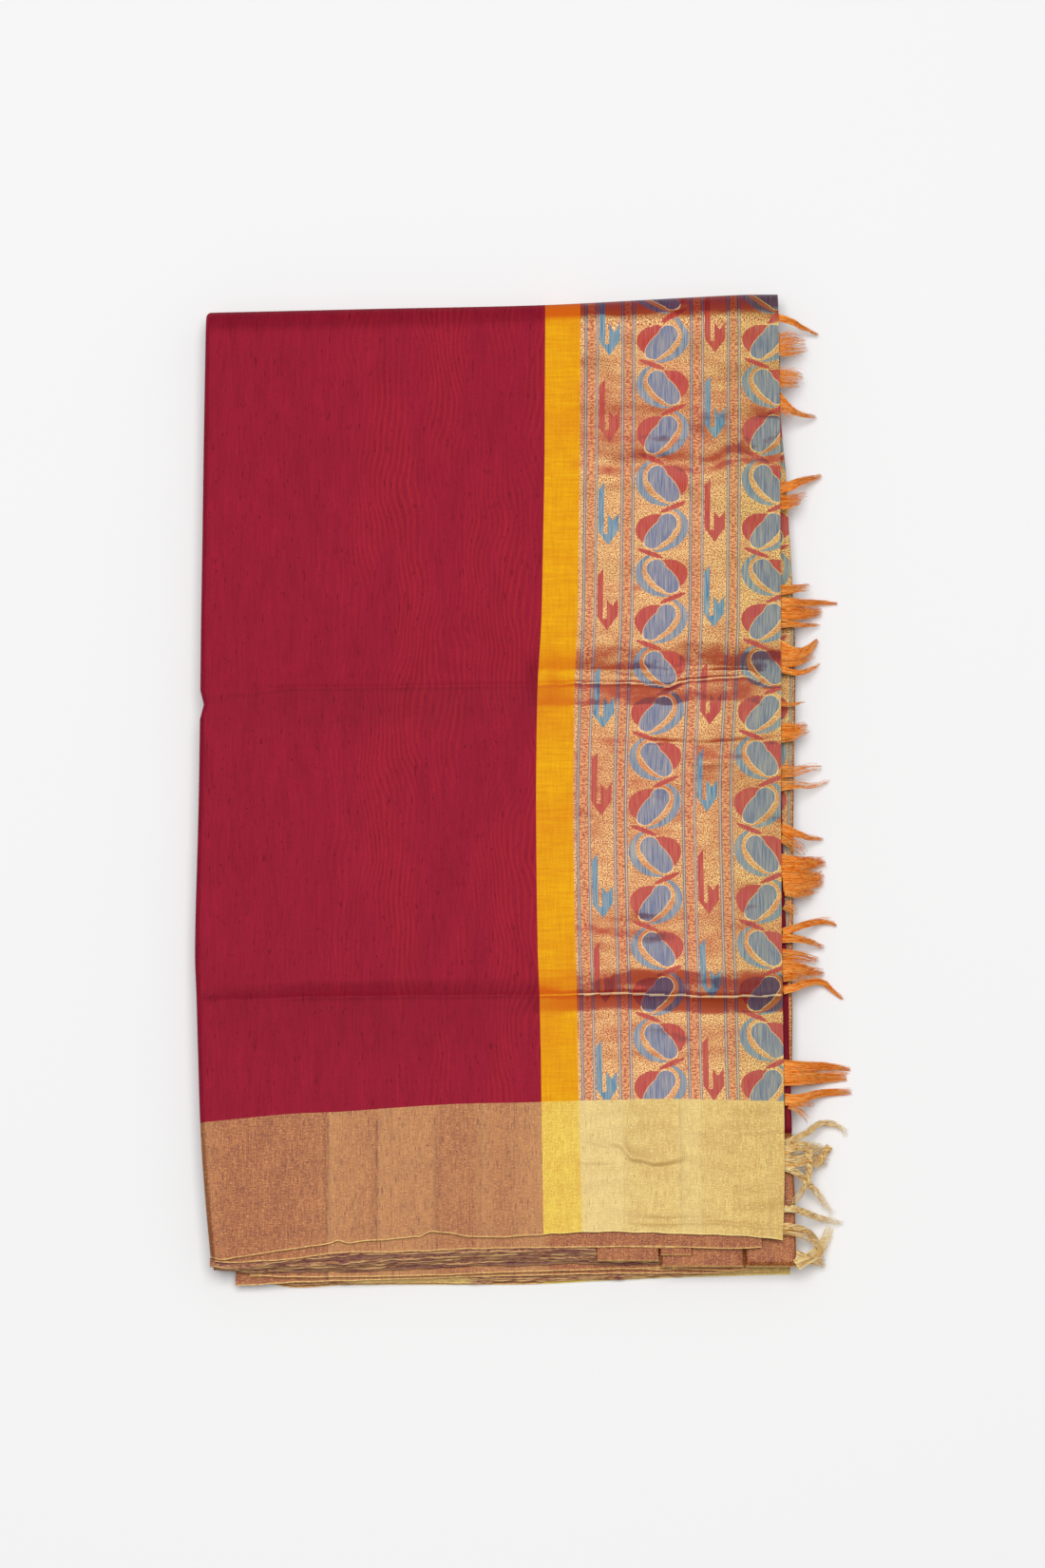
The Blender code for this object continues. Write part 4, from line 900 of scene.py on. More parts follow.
def folded_leaf(name, left, right_at, low, high, places, across_from):
    """A doubled leaf: its section is extruded along Y, and follows its side as it goes."""
    half = (high - low) / 2
    middle = (high + low) / 2
    turns = [math.radians(-90 + 180 * i / 8) for i in range(9)]
    flats = [i / 10 for i in range(1, 10)]

    def section(y):
        right = right_at(y)
        swell = 0.16 * MM * noise.noise(Vector((y / MM / 12.0, low / MM, 0.0)))
        ring = [(right - half + half * math.cos(t), middle + half * math.sin(t)) for t in turns]
        ring += [(between(right - half, left + half, share), high) for share in flats]
        ring += [(left + half - half * math.cos(t), middle + half * math.sin(t))
                 for t in reversed(turns)]
        ring += [(between(left + half, right - half, share), low) for share in flats]
        return [Vector((x + swell, y, z + swell * (z - low) / (high - low))) for x, z in ring]

    bm = bmesh.new()
    ring = [bm.verts.new(point) for point in section(places[0])]
    edges = [bm.edges.new((ring[i], ring[(i + 1) % len(ring)])) for i in range(len(ring))]
    bmesh.ops.contextual_create(bm, geom=edges)
    for y in places[1:]:
        made = bmesh.ops.extrude_edge_only(bm, edges=edges)["geom"]
        verts = [item for item in made if isinstance(item, bmesh.types.BMVert)]
        points = section(y)
        for vert in verts:
            vert.co = min(points, key=lambda point, vert=vert: (point - vert.co).length_squared)
        edges = [item for item in made if isinstance(item, bmesh.types.BMEdge)
                 and all(vert in verts for vert in item.verts)]
    bmesh.ops.contextual_create(bm, geom=edges)
    bmesh.ops.recalc_face_normals(bm, faces=bm.faces)
    weave = bm.loops.layers.uv.new("weave")
    for face in bm.faces:
        face.smooth = len(face.verts) == 4
        for loop in face.loops:
            across = loop.vert.co.x - across_from - ACROSS_SLANT * loop.vert.co.y
            loop[weave].uv = (across, loop.vert.co.y - places[0])
    return add_object(bm, name)


for name, left, right, low, high, near, back in (
        ("right_leaf_upper", 60.4, 96.9, 16.85, 18.30, -284.6, -240.3),
        ("right_leaf_small", 97.7, 116.6, 16.85, 18.15, -281.3, -240.3),
        ("right_leaf_lower", 98.2, 146.6, 13.35, 16.25, -287.7, -240.3)):
    places = [between(near, back, share) * MM for share in (0.0, 0.02, 0.06, 0.2, 0.5, 1.0)]
    end = folded_leaf(name + "_cloth", left * MM, lambda y, right=right: right * MM, low * MM,
                      high * MM, places, 0.0)
    dress(end, copper_zari, name)


def flap_side(y):
    return on_line(ALONG_Y, "flap", y) + 0.5 * MM * noise.noise(Vector((y / MM / 21.0, 1.0, 0.0)))


def inner_side(y):
    return on_line(ALONG_Y, "inner", y) + 0.5 * MM * noise.noise(Vector((y / MM / 17.0, 4.0, 0.0)))


for name, left, side_at, low, high, near, far, cloth, slot, flat in (
        ("flap_body", 147.7, flap_side, 13.50, 16.25, -208.8, 268.0, maroon_silk,
         "maroon_silk", (0.025, 0.477)),
        ("flap_border", 147.7, flap_side, 13.50, 16.25, -287.7, -208.9, copper_zari,
         "copper_zari", (0.029, 0.079)),
        ("inner_pallu", 141.3, inner_side, 11.05, 13.20, -272.0, 268.0, zari_brocade,
         "brocade", (0.037, 0.550))):
    count = max(2, round((far - near) / 4.0))
    places = [between(near, far, i / count) * MM for i in range(count + 1)]
    leaf = folded_leaf(name + "_cloth", left * MM, side_at, low * MM, high * MM, places,
                       SIDE_LEAVES_ACROSS)
    dress(leaf, cloth, name)

# Inner leaves of the packet, as one stack. Each leaf shows as a thin rounded lip, copper at
# the near edge and maroon along the left folds, with dark gaps between: grooves in the shape,
# darkened with painted shade.
CORE_LEAVES = (
    # low, high, near line, next line, left inset, right side, pocket, leaves
    (1.70, 4.65, "ninth", "bottom", 14.0, 170.0, "none", 3),
    (4.65, 7.75, "eighth", "ninth", 12.5, 168.0, "low", 3),
    (7.75, 10.75, "seventh", "eighth", 13.5, 169.0, "low", 3),
    (10.75, 12.65, "sixth", "seventh", 12.0, 141.0, "none", 2),
    (12.65, 14.55, "fifth", "sixth", 10.5, 141.0, "right", 2),
    (14.55, 16.55, "fourth", "fifth", 11.5, 141.0, "right", 2),
    (16.55, 18.45, "third", "fourth", 9.5, 168.0, "middle", 2),
    (18.45, 20.20, "second", "third", 0.0, 166.0, "top", 2),
)
# Pockets of the core, where a separate leaf lies in front: from which X on the core stays back,
# and at which Y, in millimetres.
POCKETS = {"none": (), "low": ((-200.0, -245.0),), "top": ((-200.0, -200.0),),
           "right": ((97.5, -240.0),), "middle": ((117.2, -266.0), (60.0, -240.0))}
LIP_DEPTH = 2.4 * MM
CORE_BOTTOM = 1.7 * MM
CORE_TOP = 20.2 * MM
CORE_FRONT_END = 138.0 * MM
CORE_BACK = 268.0 * MM
GROOVE = 1.5 * MM


def core_near(leaf, x):
    """Near edge of a leaf of the core, which stays back where a separate leaf lies."""
    for from_x, stay_y in POCKETS[leaf["pocket"]]:
        if x / MM > from_x:
            return stay_y * MM
    wave = 0.5 * MM * noise.noise(Vector((x / MM / 10.0, leaf["low"] * 3000.0, 2.0)))
    plain = between(on_line(ALONG_X, leaf["near"], x), on_line(ALONG_X, leaf["next"], x),
                    leaf["share"])
    return plain + LIP_DEPTH + wave


def core_outline(leaves, z, inset):
    """Closed outline of the stack at one height, from the near left corner round."""
    half = (CORE_TOP - CORE_BOTTOM) / 2
    level = min(1.0, abs(z - (CORE_TOP + CORE_BOTTOM) / 2) / half)
    depth = (FOLD_REACH - 2.6 * MM) * math.sqrt(1.0 - level * level)

    def left_x(y):
        share = between(1.0, 0.25, ease((y / MM + 290.0) / 150.0))
        layer = max(leaf["left"] * share for leaf in leaves)
        wave = 0.5 * noise.noise(Vector((y / MM / 23.0, leaves[-1]["low"] * 2000.0, 0.0)))
        return on_line(ALONG_Y, "left", y) + (3.5 + layer + wave) * MM + inset

    def front_y(x):
        return max(core_near(leaf, x) for leaf in leaves) + inset

    def back_y(x):
        return roll_start(x) + depth - 0.9 * MM

    right = min(leaf["right"] for leaf in leaves) * MM - inset
    left = left_x(-285.0 * MM) + 5.0 * MM
    front_end = min(right, CORE_FRONT_END) - 2.0 * MM
    front = [between(left, front_end, i / 180) for i in range(181)]
    back = [between(right - 4.0 * MM, left, i / 29) for i in range(30)]
    right_near = front_y(front_end) + 4.0 * MM
    left_near = front_y(left) + 4.0 * MM
    left_side = [between(CORE_BACK, left_near, i / 89) for i in range(90)]
    points = [(x, front_y(x)) for x in front]
    points += [(right, between(right_near, CORE_BACK, i / 39)) for i in range(40)]
    points += [(x, back_y(x)) for x in back]
    points += [(left_x(y), y) for y in left_side]
    return [Vector((x, y, z)) for x, y in points]


leaves = []
for low, high, near, following, left, right, pocket, count in CORE_LEAVES:
    for i in reversed(range(count)):
        leaves.append({"low": between(high, low, (i + 1) / count) * MM,
                       "high": between(high, low, i / count) * MM, "near": near,
                       "next": following, "left": left + 0.8 * (i % 2), "right": right,
                       "pocket": pocket, "share": 0.7 * i / count})
outlines = [core_outline([leaves[0]], leaves[0]["low"], 1.0 * MM)]
for index, leaf in enumerate(leaves):
    rise = leaf["high"] - leaf["low"]
    if index:
        outlines.append(core_outline([leaves[index - 1], leaf], leaf["low"], GROOVE))
    for share, inset in ((0.22, 0.25), (0.50, 0.0), (0.78, 0.25)):
        outlines.append(core_outline([leaf], leaf["low"] + share * rise, inset * MM))
outlines.append(core_outline([leaves[-1]], CORE_TOP, 1.0 * MM))

# Lips of the single leaves along the near edge, in millimetres: left, right, height, near line,
# next line, share of the way to it. Each is drawn a little uneven, as hand-folded cloth is.
LEAF_LIPS = (
    (-166.0, 59.8, 18.35, "third", "fourth", 0.0), (-164.0, 59.8, 17.45, "third", "fourth", 0.5),
    (-165.0, 97.0, 16.45, "fourth", "fifth", 0.0), (-163.0, 97.0, 15.55, "fourth", "fifth", 0.5),
    (-164.0, 97.0, 14.50, "fifth", "sixth", 0.0), (-162.0, 97.0, 13.60, "fifth", "sixth", 0.5),
    (-163.0, 140.5, 12.60, "sixth", "seventh", 0.0),
    (-150.0, 140.5, 11.70, "sixth", "seventh", 0.3),
    (-150.0, 146.0, 4.60, "ninth", "bottom", 0.0), (-132.0, 158.0, 3.75, "ninth", "bottom", 0.35),
    (-126.0, 168.0, 2.90, "ninth", "bottom", 0.7),
)
# Section of a lip, in millimetres back from its edge and up.
LIP_SECTION = ((5.5, 0.0), (1.6, 0.0), (0.7, 0.02), (0.2, -0.08), (0.0, -0.26), (0.3, -0.5),
               (5.5, -0.55))


def add_lip(bm, weave, gold, shaded, seed, left, right, high, near, following, share):
    """One leaf's edge as a thin wavy strip with a rounded outer side."""
    columns = round((right - left) / 1.3)
    rows = len(LIP_SECTION) - 1
    grid = bmesh.ops.create_grid(bm, x_segments=columns, y_segments=rows, size=0.5)["verts"]
    back_at = {}
    for vert in grid:
        column = round((vert.co.x + 0.5) * columns)
        row = round((vert.co.y + 0.5) * rows)
        x = between(left, right, column / columns)
        wave = 0.75 * noise.noise(Vector((x / 7.0, seed, 0.0)))
        wave += 1.1 * noise.noise(Vector((x / 30.0, seed, 4.0)))
        edge = between(on_line(ALONG_X, near, x * MM), on_line(ALONG_X, following, x * MM),
                       share) / MM + wave
        back, rise = LIP_SECTION[row]
        if column in (0, columns):
            rise = -0.25
        ripple = 0.22 * noise.noise(Vector((x / 12.0, seed, 8.0)))
        vert.co = Vector((x, edge + back, high + rise + ripple)) * MM
        back_at[vert] = back * MM
        if near == "ninth":
            pale = max(ease((x + 88.0) / 10.0) * ease((-8.0 - x) / 10.0), ease((x - 128.0) / 6.0))
            vert[gold] = pale if share > 0.0 else 0.7 * pale
        else:
            vert[gold] = 0.15 * ease(2.2 * noise.noise(Vector((x / 16.0, seed, 1.0))))
            # Lips that lie back under another leaf are marked for painted shadow.
            vert[shaded] = 1.0 if share > 0.0 else 0.0
    for face in {face for vert in grid for face in vert.link_faces}:
        face.material_index = 1
        for loop in face.loops:
            loop[weave].uv = (loop.vert.co.x, back_at[loop.vert])


bm = bmesh.new()
weave = bm.loops.layers.uv.new("weave")
gold = bm.verts.layers.float.new("gold")
shaded = bm.verts.layers.float.new("shaded")
for seed, lip in enumerate(LEAF_LIPS):
    add_lip(bm, weave, gold, shaded, seed * 5.0, *lip)
loops = []
for outline in outlines:
    verts = [bm.verts.new(point) for point in outline]
    loops.append([bm.edges.new((verts[i], verts[(i + 1) % len(verts)]))
                  for i in range(len(verts))])
for lower, upper_loop in zip(loops, loops[1:]):
    bmesh.ops.bridge_loops(bm, edges=lower + upper_loop)
bmesh.ops.contextual_create(bm, geom=loops[0])
bmesh.ops.contextual_create(bm, geom=loops[-1])
bmesh.ops.recalc_face_normals(bm, faces=bm.faces)
for face in bm.faces:
    face.smooth = len(face.verts) == 4
folded_core = add_object(bm, "leaf_stack")

# Stacked silk seen edge on: copper zari up to the border line, then maroon, with dark red
# painted in as shade in the gaps between the leaves, and a gold thread along some of the
# copper edges.
stacked_silk, shader, add, place = new_cloth("stacked silk leaf edges")
grain = {}
for name, sizes, detail in (("leaf", (60.0, 60.0, 1.1), 1.0), ("thread", (0.9, 2.0, 0.6), 2.0)):
    at = add("Mapping", place, Scale=[1 / (mm * MM) for mm in sizes])
    grain[name] = add("TexNoise", at, Scale=1.0, Detail=detail)
edge_cloth = add("Mix", add("MapRange", grain["leaf"], 0.35, 0.65), "#6A2418", "#9A6038")
# Painted shade: dark red bands in the gaps between the leaves.
painted_gap_shade = add("MapRange", grain["thread"], 0.50, 0.66, 0.0, 0.75)
past_border = add("MapRange", add("SeparateXYZ", place, out="Y"), -0.203, -0.201)
for share, colour in ((painted_gap_shade, "#6B1420"), (past_border, "#8A1830")):
    edge_cloth = add("Mix", share, edge_cloth, colour)
bump = add("Bump", Height=grain["thread"], Strength=0.5, Distance=0.2 * MM)
fill(shader, {"Base Color": edge_cloth, "Normal": bump, "Roughness": 0.6, "Metallic": 0.15})

# Edges of the single leaves: copper zari with dark red knots in it, painted dark red shadow on
# the lips that lie back under another leaf, a paler thread along the edge itself that is
# partly a painted highlight and dimmer in the painted shadow, and pale gold where the border
# of the end piece comes to the edge.
leaf_lip_zari, shader, add, place = new_cloth("copper and gold zari leaf edges")
grain = {}
for name, sizes, start, detail in (("thread", (2.4, 0.6, 0.8), (0.0, 0.0), 2.0),
                                   ("knot", (3.6, 1.1, 1.0), (3.0, 1.0), 2.0),
                                   ("broken", (9.0, 4.0, 1.0), (0.0, 0.0), 1.0)):
    at = add("Mapping", place, Location=(*start, 0.0), Scale=[1 / (mm * MM) for mm in sizes])
    grain[name] = add("TexNoise", at, Scale=1.0, Detail=detail)
threads = add("MapRange", grain["thread"], 0.34, 0.64)
paler = add("Attribute", attribute_name="gold", out="Fac")
lip = add("Mix", paler, add("Mix", threads, "#6E2C1C", "#BC7E4C"),
          add("Mix", threads, "#BE9440", "#ECD07C"))
knot_mask = add("MULTIPLY", add("MapRange", grain["knot"], 0.50, 0.60, 0.0, 0.9),
                add("SUBTRACT", 1.0, paler))
# Painted shadow on the lips that lie back under another leaf.
in_shade = add("Attribute", attribute_name="shaded", out="Fac")
from_edge = add("SeparateXYZ", add("UVMap", uv_map="weave"), out="Y")
# The paler thread along the edge, partly a painted highlight, dimmer in the painted shadow.
rim = add("MapRange", from_edge, 1.0 * MM, 0.5 * MM)
broken = add("MULTIPLY", add("MapRange", grain["broken"], 0.38, 0.56, 0.1, 0.85),
             add("MULTIPLY_ADD", in_shade, -0.65, 1.0))
for share, colour in ((knot_mask, "#661018"), (add("MULTIPLY", in_shade, 0.65), "#561018"),
                      (add("MULTIPLY", rim, broken), "#DCB070")):
    lip = add("Mix", share, lip, colour)
bump = add("Bump", Height=threads, Strength=0.5, Distance=0.2 * MM)
fill(shader, {"Base Color": lip, "Normal": bump, "Roughness": 0.5, "Metallic": 0.1})

dress(folded_core, stacked_silk, "folded_core")
folded_core.data.materials.append(leaf_lip_zari)

# Fringe of the end piece: the warp left long past the last weft, in uneven tufts of loose
# silk that frizz at their ends. The orange ones are silk, the gold ones are plied zari.
# Each tuft: its path, in millimetres across and along, half widths at the root and at the tip,
# threads, and turns of twist.
ORANGE_TUFTS = (
    (((172, 290.8), (180.3, 289.4), (188.7, 287.4), (198.3, 285)), 2.6, 0.9, 110, 0),
    (((171.8, 275.1), (180.1, 277.9), (189.9, 279.8)), 6, 4, 60, 0),
    (((171.8, 270.3), (180.1, 270.7), (191, 275.3)), 4, 3.4, 46, 0),
    (((171.6, 253.4), (179.9, 255), (188.4, 256)), 5, 3.4, 60, 0),
    (((171.6, 248.6), (178.6, 249.3), (185.9, 250.6)), 2.6, 2.6, 30, 0),
    (((171.5, 240.8), (176.1, 236.4), (183.2, 232), (196.5, 232.5)), 3.6, 1.1, 90, 0),
    (((171.4, 234.3), (176, 231.6), (181.9, 228.3)), 2.6, 2.4, 24, 0),
    (((170.9, 183.5), (179.1, 185.5), (187.6, 190.6), (199, 196)), 4.2, 1.4, 120, 0),
    (((170.8, 177.6), (177.8, 176.9), (189.9, 182.5)), 4, 3, 46, 0),
    (((170.8, 172.9), (177.7, 173.9), (185, 177.7)), 3.4, 2.6, 40, 0),
    (((171.3, 119.6), (179.5, 121), (191.6, 125.3)), 3.6, 2.2, 70, 0),
    (((171.3, 112.6), (184.2, 113.4), (195.1, 116.1), (207.9, 116.1)), 3, 0.9, 110, 0),
    (((171.2, 106.1), (180.5, 106.4), (190.2, 109), (198.5, 110.9)), 4.6, 3.2, 130, 0),
    (((171.1, 99), (182.8, 99.6), (197.2, 102.5)), 3, 0.8, 46, 0),
    (((171, 82.6), (180.2, 81.1), (188.7, 85.2), (195.4, 93)), 6.4, 1.4, 170, 0),
    (((170.9, 75.6), (181.4, 77.2), (192.3, 83.6)), 4.2, 3, 80, 0),
    (((170.8, 70.9), (181.3, 69.5), (189.7, 73), (196.9, 78.3)), 2.2, 0.9, 60, 0),
    (((170.6, 49.3), (179.9, 50), (187.1, 52.8)), 1.4, 0.6, 18, 0),
    (((170.4, 32.4), (179.7, 34.2), (183.2, 35.8), (188.1, 39.4)), 5.4, 2, 70, 0),
    (((170.4, 28.9), (179.7, 30.7), (189.3, 36)), 3.6, 1.4, 40, 0),
    (((170.2, 7.9), (180.6, 8.8), (189, 12.6), (197.3, 14.4)), 4, 1.6, 34, 0),
    (((170.1, -0.2), (180.5, 1.2), (191.2, 2.5), (201.3, 7.1)), 4.6, 1.6, 30, 0),
    (((170.9, -25.6), (179, -28.6), (187.3, -29.9), (197.3, -29.8)), 3, 1, 76, 0),
    (((170.9, -31.4), (178.9, -34.4), (187.2, -39.2)), 3.6, 4, 40, 0),
    (((170.7, -47.5), (181.1, -47.3), (190.6, -45.2), (198.3, -43.1)), 5.6, 3, 170, 0),
    (((170.6, -52.7), (181, -53.7), (191.7, -53), (197.1, -50.7)), 3.6, 2.6, 90, 0),
    (((171.7, -59.6), (182.1, -58.8), (190.5, -56.8), (197, -54.7)), 5.4, 3.4, 150, 0),
    (((172.8, -64.7), (182, -65.1), (191.6, -62.3)), 2.6, 2.4, 50, 0),
    (((172.7, -72.8), (176.1, -74.9), (180.7, -77.3)), 3, 2.6, 24, 0),
    (((171.4, -89.5), (179.5, -86.1), (192.6, -80.5), (199.6, -80), (204.7, -82)), 2.4, 1,
     90, 0),
    (((170.2, -92.9), (179.4, -92.9), (187.7, -93.3), (197.1, -95.6)), 3, 1.2, 80, 0),
    (((170.1, -102.6), (179.3, -103.3), (186.4, -103.8), (194.1, -104.4)), 3.6, 2.4, 60, 0),
    (((170, -110.6), (179.2, -110.1), (187.5, -111.1), (196.9, -110.6)), 5, 2.2, 110, 0),
    (((171.1, -116.3), (179.1, -115.8), (186.2, -117)), 3, 2.6, 40, 0),
    (((171, -124.3), (179, -122.1), (187.4, -117.9), (195.7, -116.9), (201.9, -121.8),
     (208.1, -126.8)), 2.6, 1.1, 110, 0),
    (((170.5, -169.7), (180.8, -169.1), (196.2, -167.2), (212.1, -169.1)), 4.4, 1.6, 150, 0),
    (((170.4, -176.5), (180.7, -176.5), (196.1, -174), (209.8, -173.6)), 5, 2.6, 170, 0),
    (((171.4, -188.9), (180.6, -188.4), (194.8, -183.1), (213, -182.2)), 3, 1.6, 130, 0),
    (((171.4, -191.2), (180.6, -191.2), (190, -190.1)), 2, 2, 40, 0),
    (((173.7, -193.4), (180.5, -196.3), (186.3, -202.3)), 2.2, 3, 16, 0),
    # Threads that have fallen back over the flap.
    (((170.8, 6), (172.6, 1), (174.6, -6)), 0.5, 0.6, 4, 0),
)
GOLD_TUFTS = (
    (((171.1, -215.4), (178, -212.4), (185, -208.2), (191, -202.9), (196.9, -201.2),
     (203.7, -202.7), (209.8, -208.3)), 1.8, 1.8, 60, 3),
    (((170, -217.7), (176.8, -213), (182.6, -208)), 2.9, 2.1, 27, 0),
    (((168.9, -220.5), (177.9, -216.9), (188.5, -216.8), (197.8, -218.2)), 2.9, 3.4, 84, 0),
    (((168.8, -225.5), (177.8, -225.9), (188.4, -223), (198.3, -225.5)), 3.6, 3.9, 96, 0),
    (((198.4, -215.3), (194.3, -221.1), (188.9, -229.7)), 2, 2.3, 51, 2),
    (((185.5, -218.8), (186, -226.6), (184.7, -235.3), (180.5, -244.7), (173, -252.4)), 2,
     2.9, 66, 3),
    (((169.9, -229.5), (177.7, -232.6), (184, -237.7), (188.2, -241), (194, -247.7),
     (200.2, -255.9)), 2, 2.1, 63, 3),
    (((168.5, -254.1), (177.5, -254.5), (185, -256.6), (193.9, -258.4), (206.3, -260.2)), 2.1,
     2.3, 66, 3.5),
    (((168.4, -264.2), (179.7, -265.5), (186.7, -268.6), (190.7, -275), (193.5, -285.9)), 1.8,
     2.9, 54, 2),
    (((168.4, -267.5), (179.6, -268.8), (187.8, -271.9), (191.8, -279.4)), 1.8, 2.6, 27, 0),
    (((177.1, -286.9), (184.1, -282.5), (191.2, -277.2), (195.5, -268.9), (198.4, -261.6)), 3.6,
     2.6, 60, 0),
    (((177.2, -281.3), (184.1, -283), (191.1, -283.9), (194.6, -287.5)), 3.4, 2.6, 45, 0),
)
FRINGE_LEVELS = ((166.0, 19.7), (171.0, 20.1), (176.0, 19.0), (182.5, 15.6), (188.0, 9.5),
                 (196.0, 3.6), (206.0, 1.4), (220.0, 0.9))
THREAD_RADIUS = 0.15 * MM
LOWEST_THREAD = 0.45


def fringe_level(x_mm):
    """Height at which fringe lies at a place across: over the side leaves, then down."""
    for (x0, z0), (x1, z1) in zip(FRINGE_LEVELS, FRINGE_LEVELS[1:]):
        if x_mm <= x1:
            return between(z0, z1, ease((x_mm - x0) / (x1 - x0)))
    return FRINGE_LEVELS[-1][1]


def on_path(path, t):
    """Place on a smooth path through the given places, as t runs from 0 to 1."""
    along = min(max(t, 0.0), 1.0) * (len(path) - 1)
    low = min(int(along), len(path) - 2)
    step = along - low
    ends = [path[max(low - 1, 0)], path[low], path[low + 1], path[min(low + 2, len(path) - 1)]]
    return [0.5 * (2 * b + (c - a) * step + (2 * a - 5 * b + 4 * c - d) * step ** 2
                   + (3 * b - a - 3 * c + d) * step ** 3) for a, b, c, d in zip(*ends)]


def fringe_mesh(name, tufts, seed):
    """Every thread of the tufts as a thin tapered tube, joined into one mesh."""
    rng = random.Random(seed)
    curve = bpy.data.curves.new(name, "CURVE")
    curve.dimensions = "3D"
    curve.bevel_depth = THREAD_RADIUS
    curve.bevel_resolution = 0
    rings = []
    for path, root_half, tip_half, count, twist in tufts:
        steps = 9 if twist or len(path) > 4 else 7
        for _ in range(count):
            stray = rng.random() < 0.15
            at_root = rng.uniform(-1.0, 1.0)
            at_tip = 0.7 * at_root + rng.gauss(0.0, 0.9 if stray else 0.32)
            length = rng.uniform(0.45, 0.8) if stray else 1.0 - 0.45 * rng.random() ** 1.2
            phase = rng.uniform(0.0, 2 * math.pi)
            curl = rng.uniform(0.15, 0.4) * (2.2 if stray else 1.0)
            layer = rng.uniform(-0.5, 0.5)
            lift = rng.uniform(0.0, 2.4) if stray else 0.0
            rings.append((steps + 1, rng.random()))
            spline = curve.splines.new("POLY")
            spline.points.add(steps)
            for i in range(steps + 1):
                t = length * i / steps
                x, y = on_path(path, t)
                ahead = on_path(path, min(t + 0.02, 1.0))
                behind = on_path(path, max(t - 0.02, 0.0))
                side = Vector((behind[1] - ahead[1], ahead[0] - behind[0])).normalized()
                z = max(fringe_level(x) + layer + lift * t, LOWEST_THREAD)
                if twist:
                    angle = phase + twist * 2 * math.pi * t
                    off = root_half * math.sin(angle) + 0.25 * at_root
                    clear = ease((x - 171.0) / 5.0)
                    z = max(z + clear * root_half * (0.8 + math.cos(angle)), LOWEST_THREAD)
                    loose = max(0.0, t - 0.8) * 5.0
                    off += loose * tip_half * at_tip * 0.6
                else:
                    off = between(root_half * at_root, tip_half * at_tip, t ** 0.8)
                    off += curl * math.sin(7.0 * t + phase) * t
                spline.points[i].co = ((x + side.x * off) * MM, (y + side.y * off) * MM, z * MM,
                                       1.0)
                spline.points[i].radius = between(1.0, 0.4, t)
    strands = bpy.data.objects.new(name, curve)
    bpy.context.scene.collection.objects.link(strands)
    bpy.context.view_layer.update()
    evaluated = strands.evaluated_get(bpy.context.evaluated_depsgraph_get())
    mesh = bpy.data.meshes.new_from_object(evaluated)
    mesh.name = name
    bpy.data.objects.remove(strands)
    around = len(mesh.vertices) // sum(count for count, _ in rings)
    tones = [tone for count, tone in rings for _ in range(count * around)]
    mesh.attributes.new("tone", "FLOAT", "POINT").data.foreach_set("value", tones)
    bm = bmesh.new()
    bm.from_mesh(mesh)
    bpy.data.meshes.remove(mesh)
    open_ends = [edge for edge in bm.edges if edge.is_boundary]
    bmesh.ops.holes_fill(bm, edges=open_ends, sides=around)
    return add_object(bm, name)


def fringe_material(name, deep, plain, bright, metallic):
    """Loose silk thread: a soft sheen along each thread, and no two quite the same shade."""
    material, shader, add, place = new_cloth(name)
    at = add("Mapping", place, Scale=[1 / (mm * MM) for mm in (12.0, 0.7, 1.5)])
    own_tone = add("Attribute", attribute_name="tone", out="Fac")
    shade = add("MULTIPLY_ADD", own_tone, 0.5, add("TexNoise", at, Scale=1.0, Detail=2.0))
    shade = add("ValToRGB", shade)
    set_ramp(shade, ((0.45, deep), (0.68, plain), (0.90, bright)))
    fill(shader, {"Base Color": shade, "Roughness": 0.6, "Metallic": metallic,
                  "Specular IOR Level": 0.15})
    return material


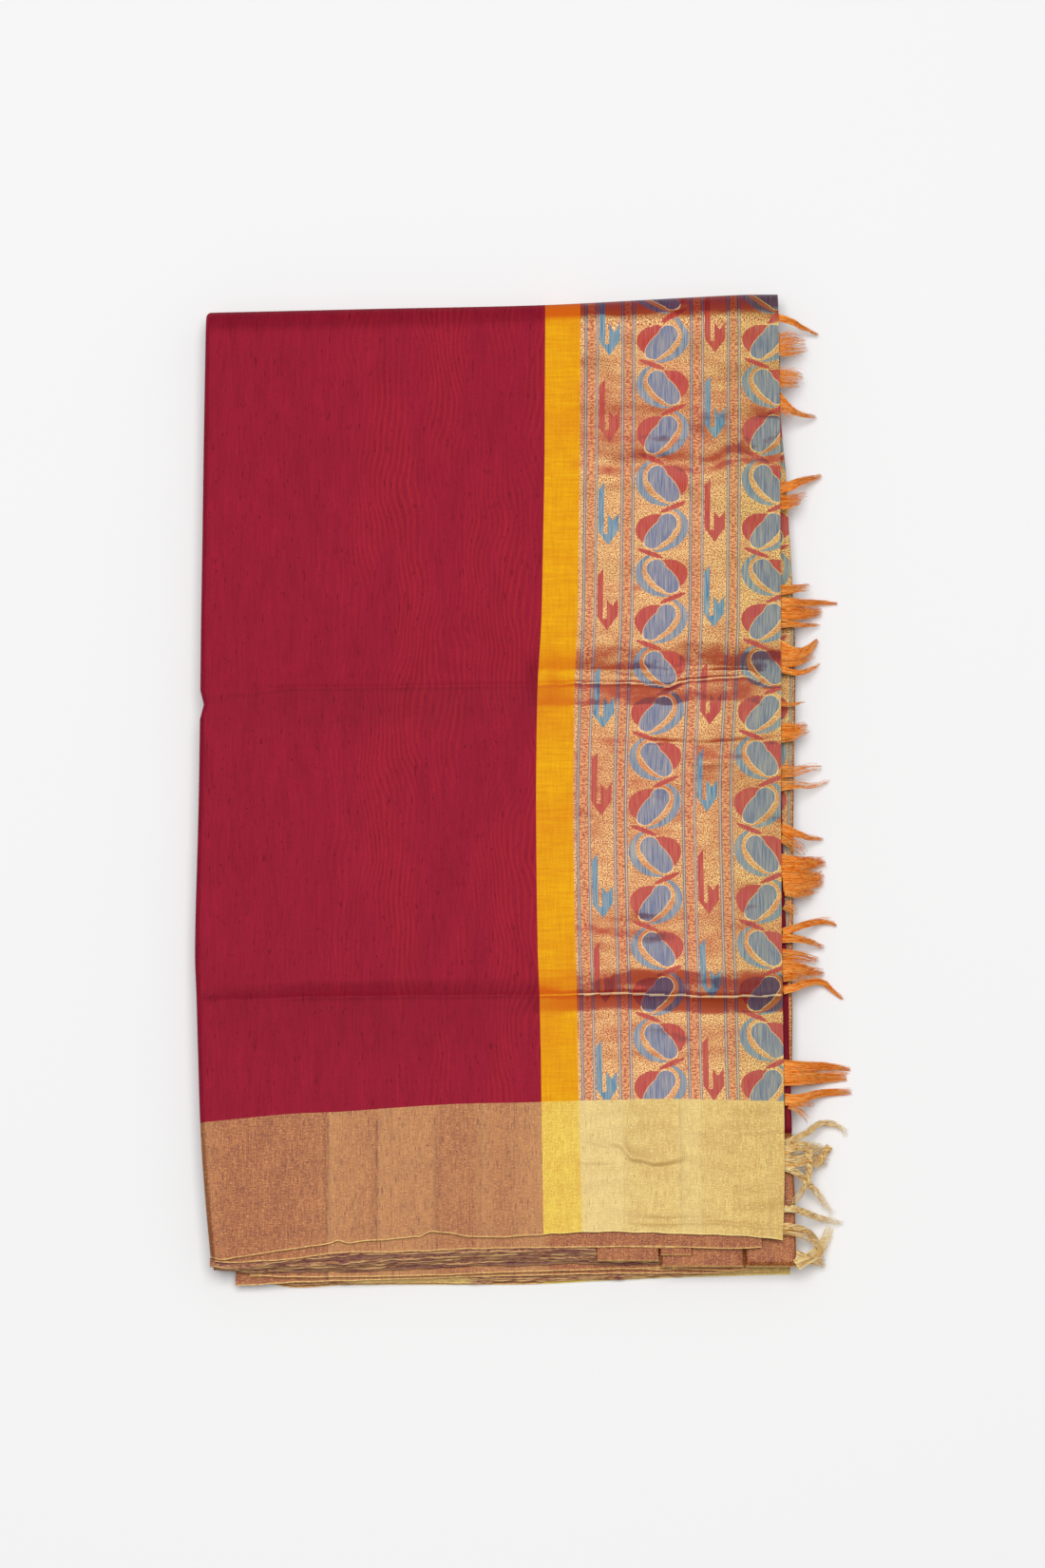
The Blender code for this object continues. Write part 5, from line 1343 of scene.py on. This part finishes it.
orange_thread = fringe_material("loose orange silk", "#E46006", "#FF961E", "#FFBA66", 0.0)
dress(fringe_mesh("orange_threads", ORANGE_TUFTS, 5), orange_thread, "fringe_orange")
gold_thread = fringe_material("loose gold zari", "#B4762C", "#FFCC78", "#FFF2BC", 0.1)
dress(fringe_mesh("gold_threads", GOLD_TUFTS, 11), gold_thread, "fringe_gold")

# Floor: plain matt card, pale grey.
bm = bmesh.new()
bmesh.ops.create_grid(bm, x_segments=1, y_segments=1, size=6.0)
bmesh.ops.translate(bm, verts=bm.verts, vec=(0.0, 0.0, -0.0002))
floor = add_object(bm, "floor")
matt_card = bpy.data.materials.new("matt grey card")
matt_card.use_nodes = True
fill(matt_card.node_tree.nodes["Principled BSDF"],
     {"Base Color": "#F4F4F4", "Roughness": 0.95, "Specular IOR Level": 0.1})
floor.data.materials.append(matt_card)

# Studio light: a softbox overhead, a little to the far side, and pale walls all round that
# are much dimmer than it is, so silk and metal thread darken where the cloth tilts.
softbox = bpy.data.lights.new("softbox", "AREA")
softbox.size = 3.4
softbox.energy = 186.0
softbox_at = bpy.data.objects.new("softbox", softbox)
softbox_at.location = (-0.1, 0.45, 4.7)
softbox_at.rotation_euler = (-softbox_at.location).to_track_quat("-Z", "Y").to_euler()
bpy.context.scene.collection.objects.link(softbox_at)

walls = bpy.data.worlds.new("pale studio")
walls.use_nodes = True
fill(walls.node_tree.nodes["Background"], {"Color": "#FFFFFF", "Strength": 0.3})
bpy.context.scene.world = walls

# Camera: nearly straight down, tipped 12 degrees towards the near edge.
CAMERA_ELEVATION = math.radians(78.0)
CAMERA_DISTANCE = 3.0
aim = Vector((0.017, 0.0, 0.022))
look = Vector((0.0, math.cos(CAMERA_ELEVATION), -math.sin(CAMERA_ELEVATION)))
lens = bpy.data.cameras.new("camera")
lens.lens = 115.52
camera = bpy.data.objects.new("camera", lens)
camera.location = aim - look * CAMERA_DISTANCE
camera.rotation_euler = (math.pi / 2 - CAMERA_ELEVATION, 0.0, 0.0)
bpy.context.scene.collection.objects.link(camera)
bpy.context.scene.camera = camera
bpy.context.scene.view_settings.view_transform = "Standard"

bpy.context.view_layer.update()
